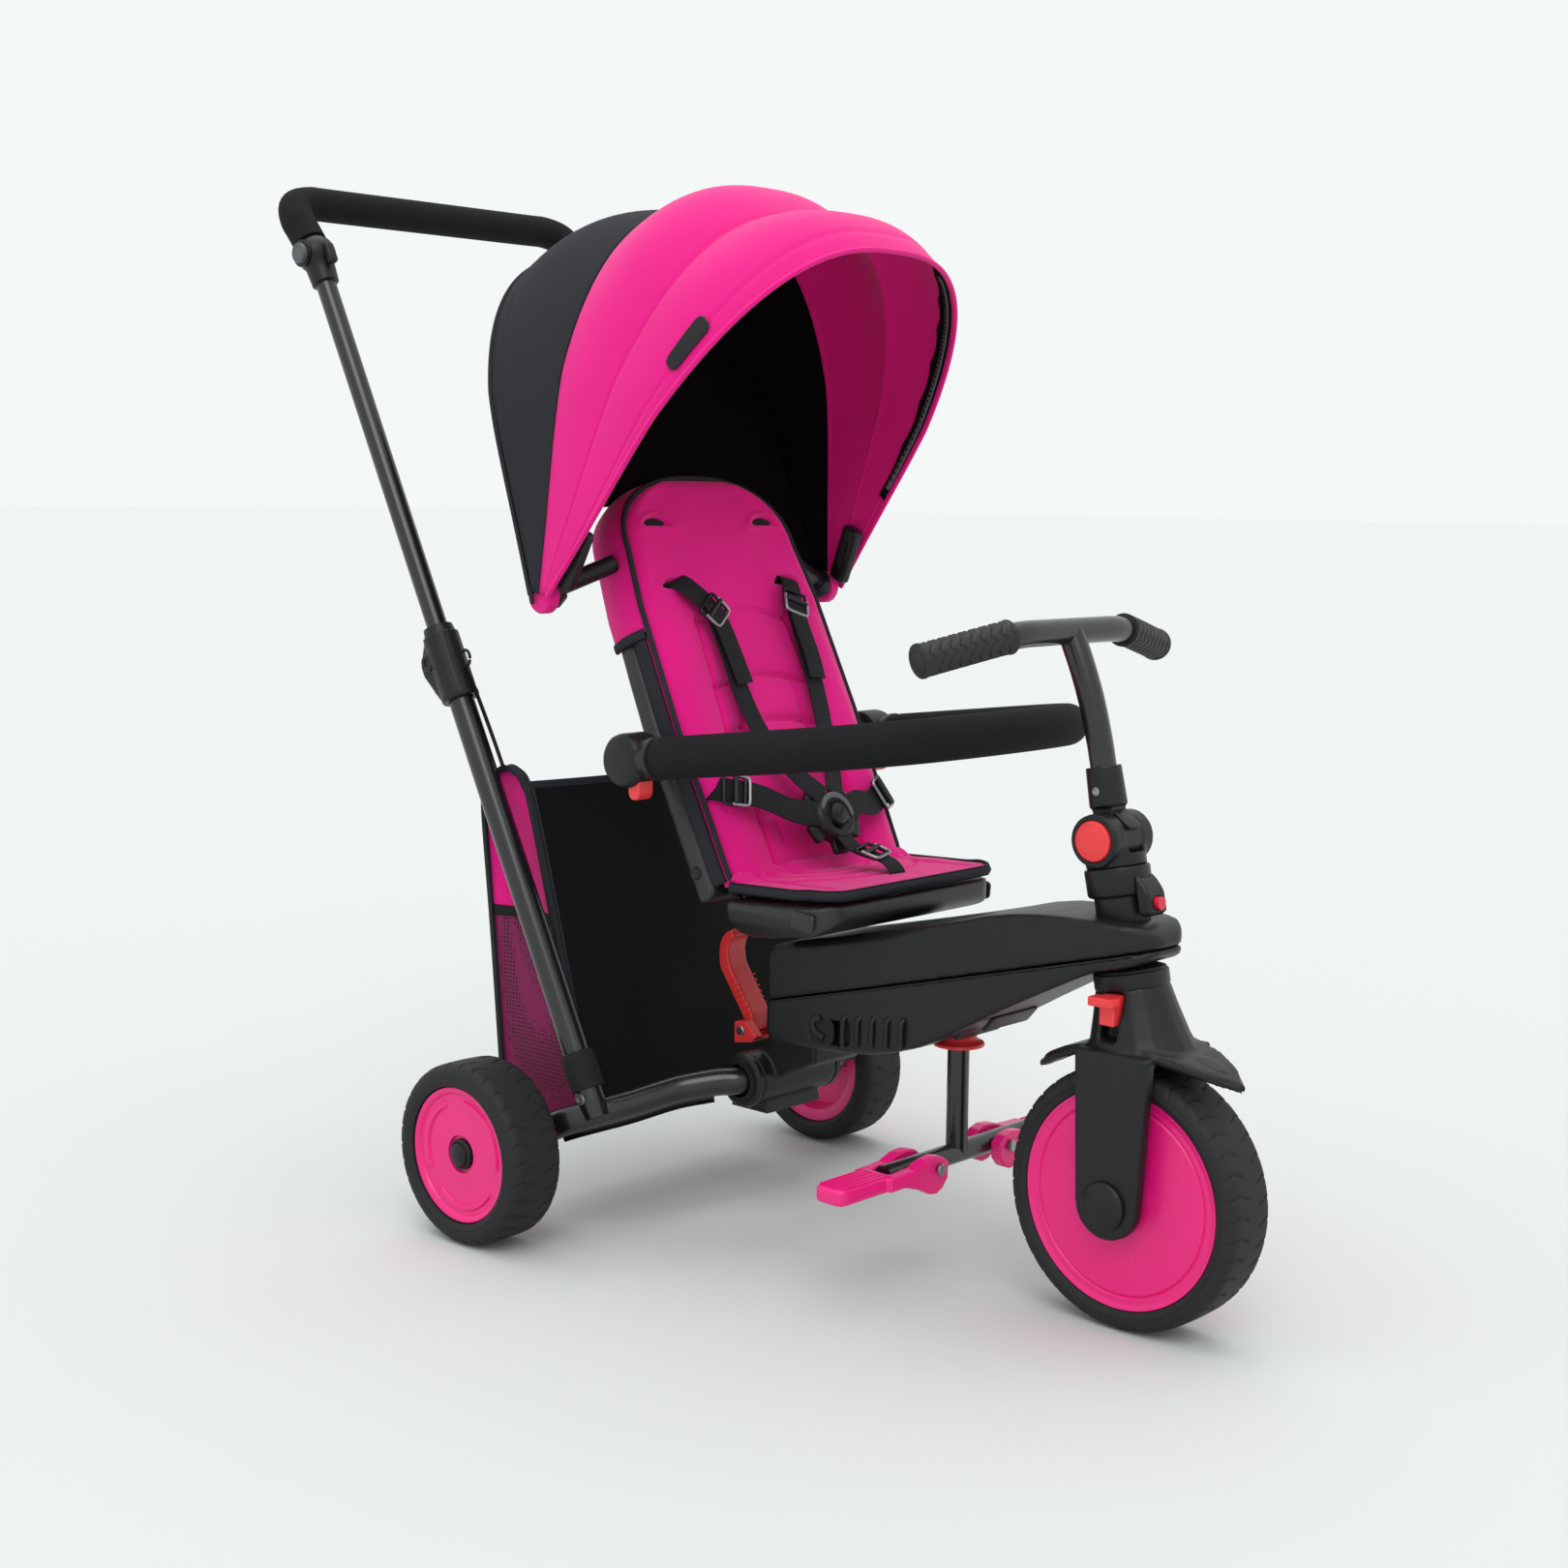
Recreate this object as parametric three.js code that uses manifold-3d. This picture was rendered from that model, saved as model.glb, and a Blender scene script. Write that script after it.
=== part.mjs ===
// A folding children's tricycle with a parent's push handle, a sun canopy and a storage bag.
// Millimetres, +X forward, +Y to the rider's left, +Z up. Heights are from the ground.
// Distances along X are from the rear axle; the whole group is then shifted to its footprint's middle.
import * as THREE from "three";
import { mergeVertices } from "three/addons/utils/BufferGeometryUtils.js";
import Module from "manifold-3d";

const wasm = await Module();
wasm.setup();

// ---- driving dimensions ----
const FOOTPRINT_MIDDLE = 132.3; // X of the middle of the object's box, ahead of the rear axle
const WHEELBASE = 503;
const REAR_R = 76; // rear tyre radius
const REAR_RIM_R = 57;
const FRONT_R = 101; // front tyre radius
const FRONT_RIM_R = 84;
const TYRE_W = 53;
const TRACK_HALF = 218.5; // centre plane to the middle of a rear tyre
const AXLE_R = 5.6;
const BORE_R = 6.2;
const GAP = 0.4; // clearance between touching pieces

const STEER = new THREE.Vector3(493, 0, 262); // where the steering axis leaves the boom
const STEER_TILT = THREE.MathUtils.degToRad(11.2);
const HINGE = new THREE.Vector3(140, 0, 130); // frame fold axis
const BARREL_HALF = 45;
const BARREL_R = 23;
const BOW_R = 12;
const TUBE_Y = 165; // push tubes, off the centre plane
const TUBE_FOOT = new THREE.Vector3(79, TUBE_Y, 124);
const TUBE_LEAN = THREE.MathUtils.degToRad(27.2);
const LOWER_TUBE_L = 404;
const LOWER_TUBE_R = 11;
const UPPER_TUBE_R = 9;
const UPPER_TUBE_FROM = 225; // distances along the push tube from its foot
const KNUCKLE_AT = 789;
const CLAMP_AT = 394;

const SEAT_REAR = new THREE.Vector3(168, 0, 296); // backrest hinge axis
const BACK_LEAN = THREE.MathUtils.degToRad(25.5);
const BACK_L = 366;
const CANOPY_PIVOT = new THREE.Vector3(29, 0, 518);
const CANOPY_HUB_Z = 541; // the clamp that carries the canopy's bows
const CANOPY_HALF = 183;
const ARM_PIVOT = new THREE.Vector3(108, 0, 406);
const ARM_CAP_IN = 131; // inner face of an arm bar cap, off the centre plane
const STEM_HINGE_UP = 108; // stem hinge above STEER, along the steering axis
const POST_X = 331; // footrest post
const PEG_Z = 97;

const PINK = 0xf0358c;
const CORAL = 0xf0484c;
const BLACK = 0x222325;
const TRIM = 0x2e3033;

const trike = new THREE.Group();
trike.position.x = -FOOTPRINT_MIDDLE;
const SIDES = [["right", -1], ["left", 1]];

// ---- small tools ----
function add(name, geometry, color, roughness = 0.5, metalness = 0, parent = trike) {
  const mesh = new THREE.Mesh(geometry, new THREE.MeshStandardMaterial({ color, roughness, metalness }));
  mesh.name = name;
  parent.add(mesh);
  return mesh;
}

function solid(geometry) {
  const bare = (geometry.index ? geometry.toNonIndexed() : geometry).clone();
  bare.deleteAttribute("normal");
  bare.deleteAttribute("uv");
  const merged = mergeVertices(bare, 1e-3);
  return new wasm.Manifold(new wasm.Mesh({
    numProp: 3,
    vertProperties: merged.attributes.position.array,
    triVerts: new Uint32Array(merged.index.array),
  }));
}

function geometryOf(manifold) {
  const mesh = manifold.getMesh();
  const geometry = new THREE.BufferGeometry();
  geometry.setAttribute("position", new THREE.BufferAttribute(mesh.vertProperties, 3));
  geometry.setIndex(new THREE.BufferAttribute(mesh.triVerts, 1));
  return geometry;
}

function join(...geometries) {
  return geometryOf(geometries.map(solid).reduce((a, b) => a.add(b)));
}

function cut(geometry, ...tools) {
  return geometryOf(tools.map(solid).reduce((a, b) => a.subtract(b), solid(geometry)));
}

function common(geometry, other) {
  return geometryOf(solid(geometry).intersect(solid(other)));
}

const vec = (x, y, z) => new THREE.Vector3(x, y, z);

// A round bar between two points.
function rod(from, to, radius, sides = 14, endRadius = radius) {
  const along = to.clone().sub(from);
  const geometry = new THREE.CylinderGeometry(endRadius, radius, along.length(), sides);
  const turn = new THREE.Quaternion().setFromUnitVectors(vec(0, 1, 0), along.normalize());
  return geometry.applyQuaternion(turn).translate(...from.clone().add(to).multiplyScalar(0.5));
}

// A round tube through points, closed at its ends.
function bent(points, radius, sides = 14, steps = 40, tension = 0.5) {
  const section = new THREE.Shape();
  section.absarc(0, 0, radius, 0, 2 * Math.PI);
  const path = new THREE.CatmullRomCurve3(points, false, "catmullrom", tension);
  return new THREE.ExtrudeGeometry(section, { steps, curveSegments: sides / 2, extrudePath: path });
}

// A profile of [radius, distance] pairs turned about a line through `at` along `axis`.
function turned(profile, at, axis, segments = 20) {
  const geometry = new THREE.LatheGeometry(profile.map(([r, d]) => new THREE.Vector2(r, d)), segments);
  const turn = new THREE.Quaternion().setFromUnitVectors(vec(0, 1, 0), axis.clone().normalize());
  return geometry.applyQuaternion(turn).translate(at.x, at.y, at.z);
}

// A side-view outline of [x, z] pairs, made into a plate between two Y values.
function plate(outline, yFrom, yTo, bevel = 0, bevelSegments = 2) {
  const shape = outline instanceof THREE.Shape
    ? outline
    : new THREE.Shape(outline.map(([x, z]) => new THREE.Vector2(x, z)));
  const geometry = new THREE.ExtrudeGeometry(shape, {
    depth: Math.abs(yTo - yFrom) - 2 * bevel,
    curveSegments: 5,
    bevelEnabled: bevel > 0,
    bevelThickness: bevel,
    bevelSize: bevel,
    bevelOffset: -bevel,
    bevelSegments,
  });
  // The shape's plane is XY and it is thickened along +Z: turn it to XZ, thickened along -Y.
  return geometry.rotateX(Math.PI / 2).translate(0, Math.max(yFrom, yTo) - bevel, 0);
}

// A box given by its lowest and highest corners.
function block(low, high) {
  const size = high.map((value, i) => value - low[i]);
  const middle = high.map((value, i) => (value + low[i]) / 2);
  return new THREE.BoxGeometry(...size).translate(...middle);
}

// ---- wheels ----
function tyreProfile(outer, inner) {
  const half = TYRE_W / 2;
  return [
    [inner, -half], [outer - 9, -half], [outer - 3, -half + 4], [outer, -half + 11],
    [outer, half - 11], [outer - 3, half - 4], [outer - 9, half], [inner, half], [inner, -half],
  ];
}

for (const [side, s] of SIDES) {
  const centre = vec(0, s * TRACK_HALF, REAR_R);
  const outward = vec(0, s, 0);
  add(`rear_tyre_${side}`, turned(tyreProfile(REAR_R, REAR_RIM_R + GAP), centre, outward, 28), BLACK, 0.85);
  const rim = [
    [BORE_R, -20], [15, -20], [17, -8], [42, -8], [46, -21], [REAR_RIM_R, -23], [REAR_RIM_R, 23],
    [53, 23], [51, 20], [16, 20], [16, 17], [BORE_R, 17], [BORE_R, -20],
  ];
  add(`rear_rim_${side}`, turned(rim, centre, outward, 22), PINK, 0.35);
  const cap = [[0, 17 + GAP], [13, 17 + GAP], [13, 21], [8, 24.5], [0, 25.4]];
  add(`rear_hub_cap_${side}`, turned(cap, centre, outward, 16), BLACK, 0.3);
}

const frontHub = vec(WHEELBASE, 0, FRONT_R);
add("front_tyre", turned(tyreProfile(FRONT_R, FRONT_RIM_R + GAP), frontHub, vec(0, 1, 0), 32), BLACK, 0.85);
const frontRim = [
  [BORE_R, -25], [30, -24.4], [FRONT_RIM_R, -24.4], [FRONT_RIM_R, 24.4], [30, 24.4], [BORE_R, 25], [BORE_R, -25],
];
add("front_rim", turned(frontRim, frontHub, vec(0, 1, 0), 28), PINK, 0.35);

// ---- front fork ----
const steerUp = vec(-Math.sin(STEER_TILT), 0, Math.cos(STEER_TILT));
const onSteer = (distance) => STEER.clone().addScaledVector(steerUp, distance);
const LEG_IN = 31;
const LEG_OUT = 44;
const FENDER_Z = 212;

function forkLeg(s) {
  const leg = new THREE.Shape();
  leg.moveTo(WHEELBASE - 31, FENDER_Z + 4);
  leg.lineTo(WHEELBASE - 27, FRONT_R);
  leg.absarc(WHEELBASE, FRONT_R, 27, Math.PI, 2 * Math.PI);
  leg.lineTo(WHEELBASE + 34, FENDER_Z + 4);
  return plate(leg, s * LEG_IN, s * LEG_OUT, 2, 1);
}

function fender() {
  const radius = 167;
  const middleX = WHEELBASE + 8;
  const middleZ = FENDER_Z + 9 - radius;
  const spread = 0.62;
  const arc = new THREE.Shape();
  arc.absarc(middleX, middleZ, radius, Math.PI / 2 - spread, Math.PI / 2 + spread);
  arc.absarc(middleX, middleZ, radius - 7, Math.PI / 2 + spread, Math.PI / 2 - spread, true);
  const leaf = new THREE.Shape();
  leaf.moveTo(WHEELBASE + 87, 0);
  leaf.bezierCurveTo(WHEELBASE + 66, 46, WHEELBASE - 66, 46, WHEELBASE - 90, 0);
  leaf.bezierCurveTo(WHEELBASE - 66, -46, WHEELBASE + 66, -46, WHEELBASE + 87, 0);
  const stamp = new THREE.ExtrudeGeometry(leaf, { depth: 120, bevelEnabled: false, curveSegments: 8 });
  return common(plate(arc, -60, 60), stamp.translate(0, 0, 150));
}

const crown = turned([[0, -52], [42, -52], [38, -42], [32, -20], [28, -3], [0, -3]], STEER, steerUp, 20);
const crownSlotAt = onSteer(-14);
const crownSlot = block(
  [crownSlotAt.x - 8, -60, crownSlotAt.z - 26],
  [crownSlotAt.x + 8, -21, crownSlotAt.z + 10],
);
const wheelWell = rod(vec(WHEELBASE, -LEG_IN, FRONT_R), vec(WHEELBASE, LEG_IN, FRONT_R), FRONT_R + 4, 28);
const forkAxleHole = rod(vec(WHEELBASE, -60, FRONT_R), vec(WHEELBASE, 60, FRONT_R), BORE_R, 16);
const shaftHole = rod(onSteer(-34), onSteer(5), 10.4, 24);
add("front_fork",
  cut(join(crown, fender(), forkLeg(-1), forkLeg(1)), wheelWell, forkAxleHole, shaftHole, crownSlot), TRIM, 0.55);
const axleFlange = LEG_OUT + GAP;
const axleProfile = [
  [0, -axleFlange - 5], [16, -axleFlange - 5], [18, -axleFlange - 3], [18, -axleFlange], [AXLE_R, -axleFlange],
  [AXLE_R, axleFlange], [18, axleFlange], [18, axleFlange + 3], [16, axleFlange + 5], [0, axleFlange + 5],
];
add("front_axle", turned(axleProfile, frontHub, vec(0, 1, 0), 24), BLACK, 0.45);
const leverLow = [crownSlotAt.x - 6.5, -37, crownSlotAt.z - 14];
const leverHigh = [crownSlotAt.x + 6.5, -21 - GAP, crownSlotAt.z + 8];
add("clutch_lever", join(
  block(leverLow, leverHigh),
  block([leverLow[0] - 5, -45, leverHigh[2] - 7], [leverHigh[0] + 3, -33, leverHigh[2]]),
), CORAL, 0.4);

// ---- boom: two shells, split on a rising seam ----
const BOOM_HALF = 55;
const SEAM_REAR = 203;
const SEAM_FRONT = 293;
const BOOM_REAR = 168;
const NOSE_R = 38;
const BOOM_FRONT = 527;

function boomSide() {
  const side = new THREE.Shape();
  side.moveTo(BOOM_REAR + 6, 169);
  side.lineTo(250, 172);
  side.quadraticCurveTo(318, 178, 370, 212);
  side.quadraticCurveTo(430, 247, 484, 273);
  side.quadraticCurveTo(BOOM_FRONT - 2, 279, BOOM_FRONT, 293);
  side.quadraticCurveTo(BOOM_FRONT, 306, 510, 309);
  side.quadraticCurveTo(440, 315, 392, 304);
  side.quadraticCurveTo(330, 286, BOOM_REAR + 8, 252);
  side.lineTo(BOOM_REAR, 246);
  side.lineTo(BOOM_REAR, 176);
  return plate(side, -BOOM_HALF, BOOM_HALF, 5, 1);
}

function boomPlan() {
  const plan = new THREE.Shape();
  plan.moveTo(BOOM_REAR - 5, -BOOM_HALF);
  plan.lineTo(300, -BOOM_HALF);
  plan.lineTo(487, -NOSE_R);
  plan.absarc(490, 0, NOSE_R, -Math.PI / 2, Math.PI / 2);
  plan.lineTo(300, BOOM_HALF);
  plan.lineTo(BOOM_REAR - 5, BOOM_HALF);
  return new THREE.ExtrudeGeometry(plan, { depth: 200, bevelEnabled: false, curveSegments: 8 }).translate(0, 0, 140);
}

function seamWedge(above) {
  const offset = above ? GAP / 2 : -GAP / 2;
  const far = above ? 340 : 140;
  return plate([
    [BOOM_REAR - 10, SEAM_REAR - 2.5 + offset], [BOOM_FRONT + 10, SEAM_FRONT + 2.5 + offset],
    [BOOM_FRONT + 10, far], [BOOM_REAR - 10, far],
  ], -80, 80);
}

const boom = common(boomSide(), boomPlan());
const SHAFT_HOLE_R = 16.5;
const boomShaftHole = rod(onSteer(-20), onSteer(70), SHAFT_HOLE_R, 20);
const postHole = join(
  rod(vec(POST_X, 0, 150), vec(POST_X, 0, 250), 15),
  rod(vec(POST_X, 0, 150), vec(POST_X, 0, 192), 21.5, 18),
);
add("boom_upper_shell", cut(common(boom, seamWedge(true)), boomShaftHole), BLACK, 0.45);
const gripRecess = (s) => plate(
  [[222, 178], [262, 181], [262, 199], [222, 197]], s * (BOOM_HALF - 10), s * (BOOM_HALF + 5));
add("boom_lower_shell",
  cut(common(boom, seamWedge(false)), boomShaftHole, postHole, gripRecess(-1), gripRecess(1)), BLACK, 0.45);
const bearing = [[SHAFT_HOLE_R, -1], [27, -1], [27, 10], [SHAFT_HOLE_R, 14], [SHAFT_HOLE_R, -1]];
add("steering_bearing", cut(turned(bearing, STEER, steerUp, 18), boom), TRIM, 0.5);

// ---- frame hinge under the boom's rear end ----
const barrel = rod(vec(HINGE.x, -BARREL_HALF, HINGE.z), vec(HINGE.x, BARREL_HALF, HINGE.z), BARREL_R, 20);
const neck = plate([[134, 146], [162, 132], [206, 152], [206, 168.4], [160, 168.4]], -32, 32);
const foot = plate([[112, 100], [156, 100], [150, 116], [120, 116]], -34, 34);
const bowHole = rod(vec(HINGE.x, -80, HINGE.z), vec(HINGE.x, 80, HINGE.z), BOW_R + 3 * GAP, 20);
add("hinge_housing", cut(join(barrel, neck, foot), bowHole), TRIM, 0.5);
const LEVER_PIN = vec(112, 0, 163);
const bracketOuter = plate([[104, 151], [124, 154.5], [130, 160], [118, 172], [104, 170]], -22, 22);
const bracketSlot = block([100, -13, 150], [140, 13, 180]);
const bracketBase = plate([[104, 151], [124, 154.5], [128, 158], [104, 155]], -22, 22);
const pinHole = rod(LEVER_PIN.clone().setY(-30), LEVER_PIN.clone().setY(30), 3.4, 14);
const leverPin = rod(LEVER_PIN.clone().setY(-23), LEVER_PIN.clone().setY(23), 3, 14);
const barrelSpace = rod(vec(HINGE.x, -60, HINGE.z), vec(HINGE.x, 60, HINGE.z), BARREL_R + GAP, 20);
add("lever_bracket", cut(join(cut(bracketOuter, bracketSlot), bracketBase, leverPin), barrelSpace), CORAL, 0.4);

function leverShape() {
  const lever = new THREE.Shape();
  lever.moveTo(108, 159);
  lever.lineTo(117, 162);
  lever.lineTo(115, 176);
  lever.lineTo(88, 214);
  lever.quadraticCurveTo(81, 232, 93, 241);
  lever.lineTo(90, 247);
  lever.quadraticCurveTo(69, 240, 76, 211);
  lever.lineTo(104, 172);
  return lever;
}
add("fold_lever", cut(plate(leverShape(), -11.5, 11.5, 1, 1), pinHole), CORAL, 0.4);

// ---- rear bow, push tubes and what rides on them ----
const bowHalf = [
  [HINGE.x, 52, HINGE.z], [126, 66, 129], [106, 92, 124], [90, 130, 116], [78, 158, 111],
  [56, 173, 102], [26, 176, 87], [0, 176, REAR_R],
];
const bowPoints = [
  ...bowHalf.map(([x, y, z]) => vec(x, -y, z)).reverse(),
  vec(HINGE.x, -30, HINGE.z), vec(HINGE.x, 30, HINGE.z),
  ...bowHalf.map(([x, y, z]) => vec(x, y, z)),
];
const stubAxle = (s) => rod(vec(0, s * 170, REAR_R), vec(0, s * (TRACK_HALF + 16.5), REAR_R), AXLE_R, 16);
const tubeDown = vec(Math.sin(TUBE_LEAN), 0, -Math.cos(TUBE_LEAN));
const onTube = (s, distance) =>
  vec(TUBE_FOOT.x, s * TUBE_Y, TUBE_FOOT.z).addScaledVector(tubeDown, -distance);
const dropout = (s) => rod(vec(0, s * 165, REAR_R), vec(0, s * 187, REAR_R), 15, 24);
const footing = (s) => rod(onTube(s, -22), onTube(s, 1), 9, 12);
add("rear_bow", join(
  bent(bowPoints, BOW_R, 12, 38, 0.4),
  ...[-1, 1].flatMap((s) => [dropout(s), footing(s), stubAxle(s)]),
), BLACK, 0.25, 0.3);

function pipe(from, to, outer, inner, sides = 14) {
  const along = to.clone().sub(from);
  const length = along.length();
  return turned([[inner, 0], [outer, 0], [outer, length], [inner, length], [inner, 0]], from, along, sides);
}

const upperAxis = vec(-Math.sin(TUBE_LEAN), 0, Math.cos(TUBE_LEAN));
const rearward = vec(-Math.cos(TUBE_LEAN), 0, -Math.sin(TUBE_LEAN)); // square to the tube, towards the parent
for (const [side, s] of SIDES) {
  const tubeGap = LOWER_TUBE_R + GAP;
  add(`push_tube_lower_${side}`,
    pipe(onTube(s, 2), onTube(s, LOWER_TUBE_L), LOWER_TUBE_R, UPPER_TUBE_R + GAP), BLACK, 0.3, 0.3);
  add(`push_tube_upper_${side}`,
    rod(onTube(s, UPPER_TUBE_FROM), onTube(s, KNUCKLE_AT - 12), UPPER_TUBE_R, 18), BLACK, 0.25, 0.3);
  const collar = rod(onTube(s, CLAMP_AT - 34), onTube(s, CLAMP_AT + 24), 16);
  const clampMid = onTube(s, CLAMP_AT);
  const nose = plate([[2, 23], [-14, 21], [-26, 6], [-26, -4], [-15, -31], [2, -31]], -11, 11, 2, 1)
    .rotateY(-TUBE_LEAN).translate(clampMid.x, clampMid.y, clampMid.z);
  const bore = rod(onTube(s, CLAMP_AT - 60), onTube(s, CLAMP_AT + 60), tubeGap);
  const buttonFrom = onTube(s, CLAMP_AT - 18).addScaledVector(rearward, 14);
  const buttonTo = onTube(s, CLAMP_AT - 18).addScaledVector(rearward, 28);
  const buttonWell = rod(buttonFrom, buttonTo, 5 + GAP, 16);
  add(`height_clamp_${side}`, cut(join(collar, nose), bore, buttonWell), TRIM, 0.55);
  const buttonRest = onTube(s, CLAMP_AT - 18).addScaledVector(rearward, 18);
  add(`height_button_${side}`, rod(buttonRest, buttonTo.clone().addScaledVector(rearward, -3), 5, 16), CORAL, 0.4);

  const knuckle = onTube(s, KNUCKLE_AT);
  const ball = new THREE.SphereGeometry(17, 14, 8).translate(knuckle.x, knuckle.y, knuckle.z);
  const socket = rod(onTube(s, KNUCKLE_AT - 30), knuckle, 12.5, 20);
  const tubeSeat = rod(onTube(s, KNUCKLE_AT - 40), onTube(s, KNUCKLE_AT - 12 + GAP), UPPER_TUBE_R + GAP, 18);
  const tongueSlot = block([-19, -6.4, -6], [19, 6.4, 19]).rotateY(-TUBE_LEAN)
    .translate(knuckle.x, knuckle.y, knuckle.z);
  const buttonPit = rod(
    knuckle.clone().setY(knuckle.y + s * 11), knuckle.clone().setY(knuckle.y + s * 24), 9 + GAP, 18);
  add(`handle_knuckle_${side}`, cut(join(ball, socket), tubeSeat, tongueSlot, buttonPit), TRIM, 0.45);
  add(`knuckle_button_${side}`, rod(
    knuckle.clone().setY(knuckle.y + s * 14.5), knuckle.clone().setY(knuckle.y + s * 20), 9, 18), 0x56585c, 0.5);
}

// The handle: one bar across, its ends bent down into the knuckles.
const knuckleMid = onTube(0, KNUCKLE_AT).setY(0);
const handleTop = knuckleMid.clone().add(vec(-43, 0, 50));
const handlePoints = [];
for (const s of [-1, 1]) {
  const half = [
    knuckleMid.clone().lerp(handleTop, 0.36).setY(s * TUBE_Y),
    knuckleMid.clone().lerp(handleTop, 0.62).setY(s * TUBE_Y),
    knuckleMid.clone().lerp(handleTop, 0.9).setY(s * (TUBE_Y - 6)),
    handleTop.clone().setY(s * (TUBE_Y - 22)),
    handleTop.clone().setY(s * (TUBE_Y - 48)),
  ];
  handlePoints.push(...(s < 0 ? half : half.reverse()));
}
const handleTongue = (s) => {
  const toTop = handleTop.clone().sub(knuckleMid).normalize();
  const lug = join(
    rod(knuckleMid.clone().setY(s * TUBE_Y - 6), knuckleMid.clone().setY(s * TUBE_Y + 6), 5, 16),
    block([-5, -6, 0], [5, 6, 26]).rotateY(Math.atan2(toTop.x, toTop.z))
      .translate(knuckleMid.x, s * TUBE_Y, knuckleMid.z),
  );
  return lug;
};
add("handle_bar", join(bent(handlePoints, 15, 12, 22), handleTongue(-1), handleTongue(1)), BLACK, 0.8);

// ---- storage bag between the push tubes ----
const BAG_HALF = 148;
function bagOutline(inset) {
  const lift = inset > 0 ? 80 : 0; // the cavity runs out through the top
  return [
    [-50 + inset, 106 + inset], [62 - inset, 106 + inset], [-18 - inset, 372],
    [-18 - inset, 374 + lift], [-48, 388 + lift], [-74 + inset, 356 + lift], [-74 + inset, 340],
    [-63 + inset, 240],
  ];
}
add("storage_bag", cut(
  plate(bagOutline(0), -BAG_HALF, BAG_HALF),
  plate(bagOutline(3), -BAG_HALF + 3, BAG_HALF - 3),
), BLACK, 0.9);

// ---- seat ----
const PAN_HALF = 112;
const panSide = new THREE.Shape();
panSide.moveTo(186, 263);
panSide.lineTo(262, 276);
panSide.quadraticCurveTo(283, 283, 285, 291);
panSide.lineTo(283, 302.5);
panSide.lineTo(178, 296);
panSide.quadraticCurveTo(172, 270, 186, 263);
const panFront = new THREE.Shape();
panFront.moveTo(-62, 255);
panFront.lineTo(62, 255);
panFront.quadraticCurveTo(PAN_HALF - 2, 266, PAN_HALF, 290);
panFront.lineTo(PAN_HALF, 310);
panFront.lineTo(-PAN_HALF, 310);
panFront.lineTo(-PAN_HALF, 290);
panFront.quadraticCurveTo(-PAN_HALF + 2, 266, -62, 255);
const panStamp = new THREE.ExtrudeGeometry(panFront, { depth: 160, bevelEnabled: false, curveSegments: 4 })
  .rotateX(Math.PI / 2).rotateZ(Math.PI / 2).translate(160, 0, 0);
const boomSpace = plate([[150, 150], [460, 150], [460, 313.5], [392, 305], [330, 287], [150, 249]],
  -BOOM_HALF - 1, BOOM_HALF + 1);
// The seat seen from above, its front corners rounded.
function seatPlan(half, front, corner) {
  const plan = new THREE.Shape();
  plan.moveTo(150, -half);
  plan.lineTo(front - corner, -half);
  plan.absarc(front - corner, corner - half, corner, -Math.PI / 2, 0);
  plan.lineTo(front, half - corner);
  plan.absarc(front - corner, half - corner, corner, 0, Math.PI / 2);
  plan.lineTo(150, half);
  return new THREE.ExtrudeGeometry(plan, { depth: 100, bevelEnabled: false, curveSegments: 4 }).translate(0, 0, 240);
}
const panRaw = common(common(plate(panSide, -PAN_HALF, PAN_HALF, 3, 1), panStamp), seatPlan(PAN_HALF, 285, 30));
add("seat_cushion", common(
  plate([[188, 298], [282, 303.5], [286, 311], [281, 316], [188, 310]], -108, 108, 3, 1),
  seatPlan(108, 286, 28),
), PINK, 0.8);

// The backrest is modelled upright at the origin (x forward, z up) and leaned back about its hinge.
function leaned(geometry) {
  return geometry.rotateY(-BACK_LEAN).translate(SEAT_REAR.x, 0, SEAT_REAR.z);
}
function backOutline(half, length, low) {
  const face = new THREE.Shape();
  const crownR = half - 12;
  face.moveTo(-half, low);
  face.lineTo(-half - 3, length * 0.4);
  face.quadraticCurveTo(-half + 2, length - 70, -half + 10, length - 60);
  face.bezierCurveTo(-crownR + 6, length - 8, -crownR / 2, length, 0, length);
  face.bezierCurveTo(crownR / 2, length, crownR - 6, length - 8, half - 10, length - 60);
  face.quadraticCurveTo(half - 2, length - 70, half + 3, length * 0.4);
  face.lineTo(half, low);
  return face;
}
function backSlab(half, length, low, xFrom, xTo, bevel) {
  const depth = xTo - xFrom - 2 * bevel;
  return new THREE.ExtrudeGeometry(backOutline(half, length, low), {
    depth, curveSegments: 5, bevelEnabled: true, bevelThickness: bevel, bevelSize: bevel,
    bevelOffset: -bevel, bevelSegments: 1,
  }).rotateX(Math.PI / 2).rotateZ(Math.PI / 2).translate(xFrom + bevel, 0, 0);
}
const recessBack = backSlab(96, BACK_L - 26, 30, -40, -11, 2);
const hingeKnuckle = rod(vec(-10, -70, 0), vec(-10, 70, 0), 8, 20);
const backShell = join(cut(backSlab(112, BACK_L - 12, 1, -23, -2, 5), recessBack), hingeKnuckle);
const armBoss = (s) => rod(
  vec(ARM_PIVOT.x, s * 111, ARM_PIVOT.z), vec(ARM_PIVOT.x, s * (ARM_CAP_IN - GAP), ARM_PIVOT.z), 15, 20);
const backrest = leaned(cut(
  backShell,
  rod(vec(-10, -90, 0), vec(-10, 90, 0), 4.4, 16),
  block([-60, -42, -20], [6, 42, 12]),
));
add("backrest_shell", join(backrest, armBoss(-1), armBoss(1)), BLACK, 0.65);

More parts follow.
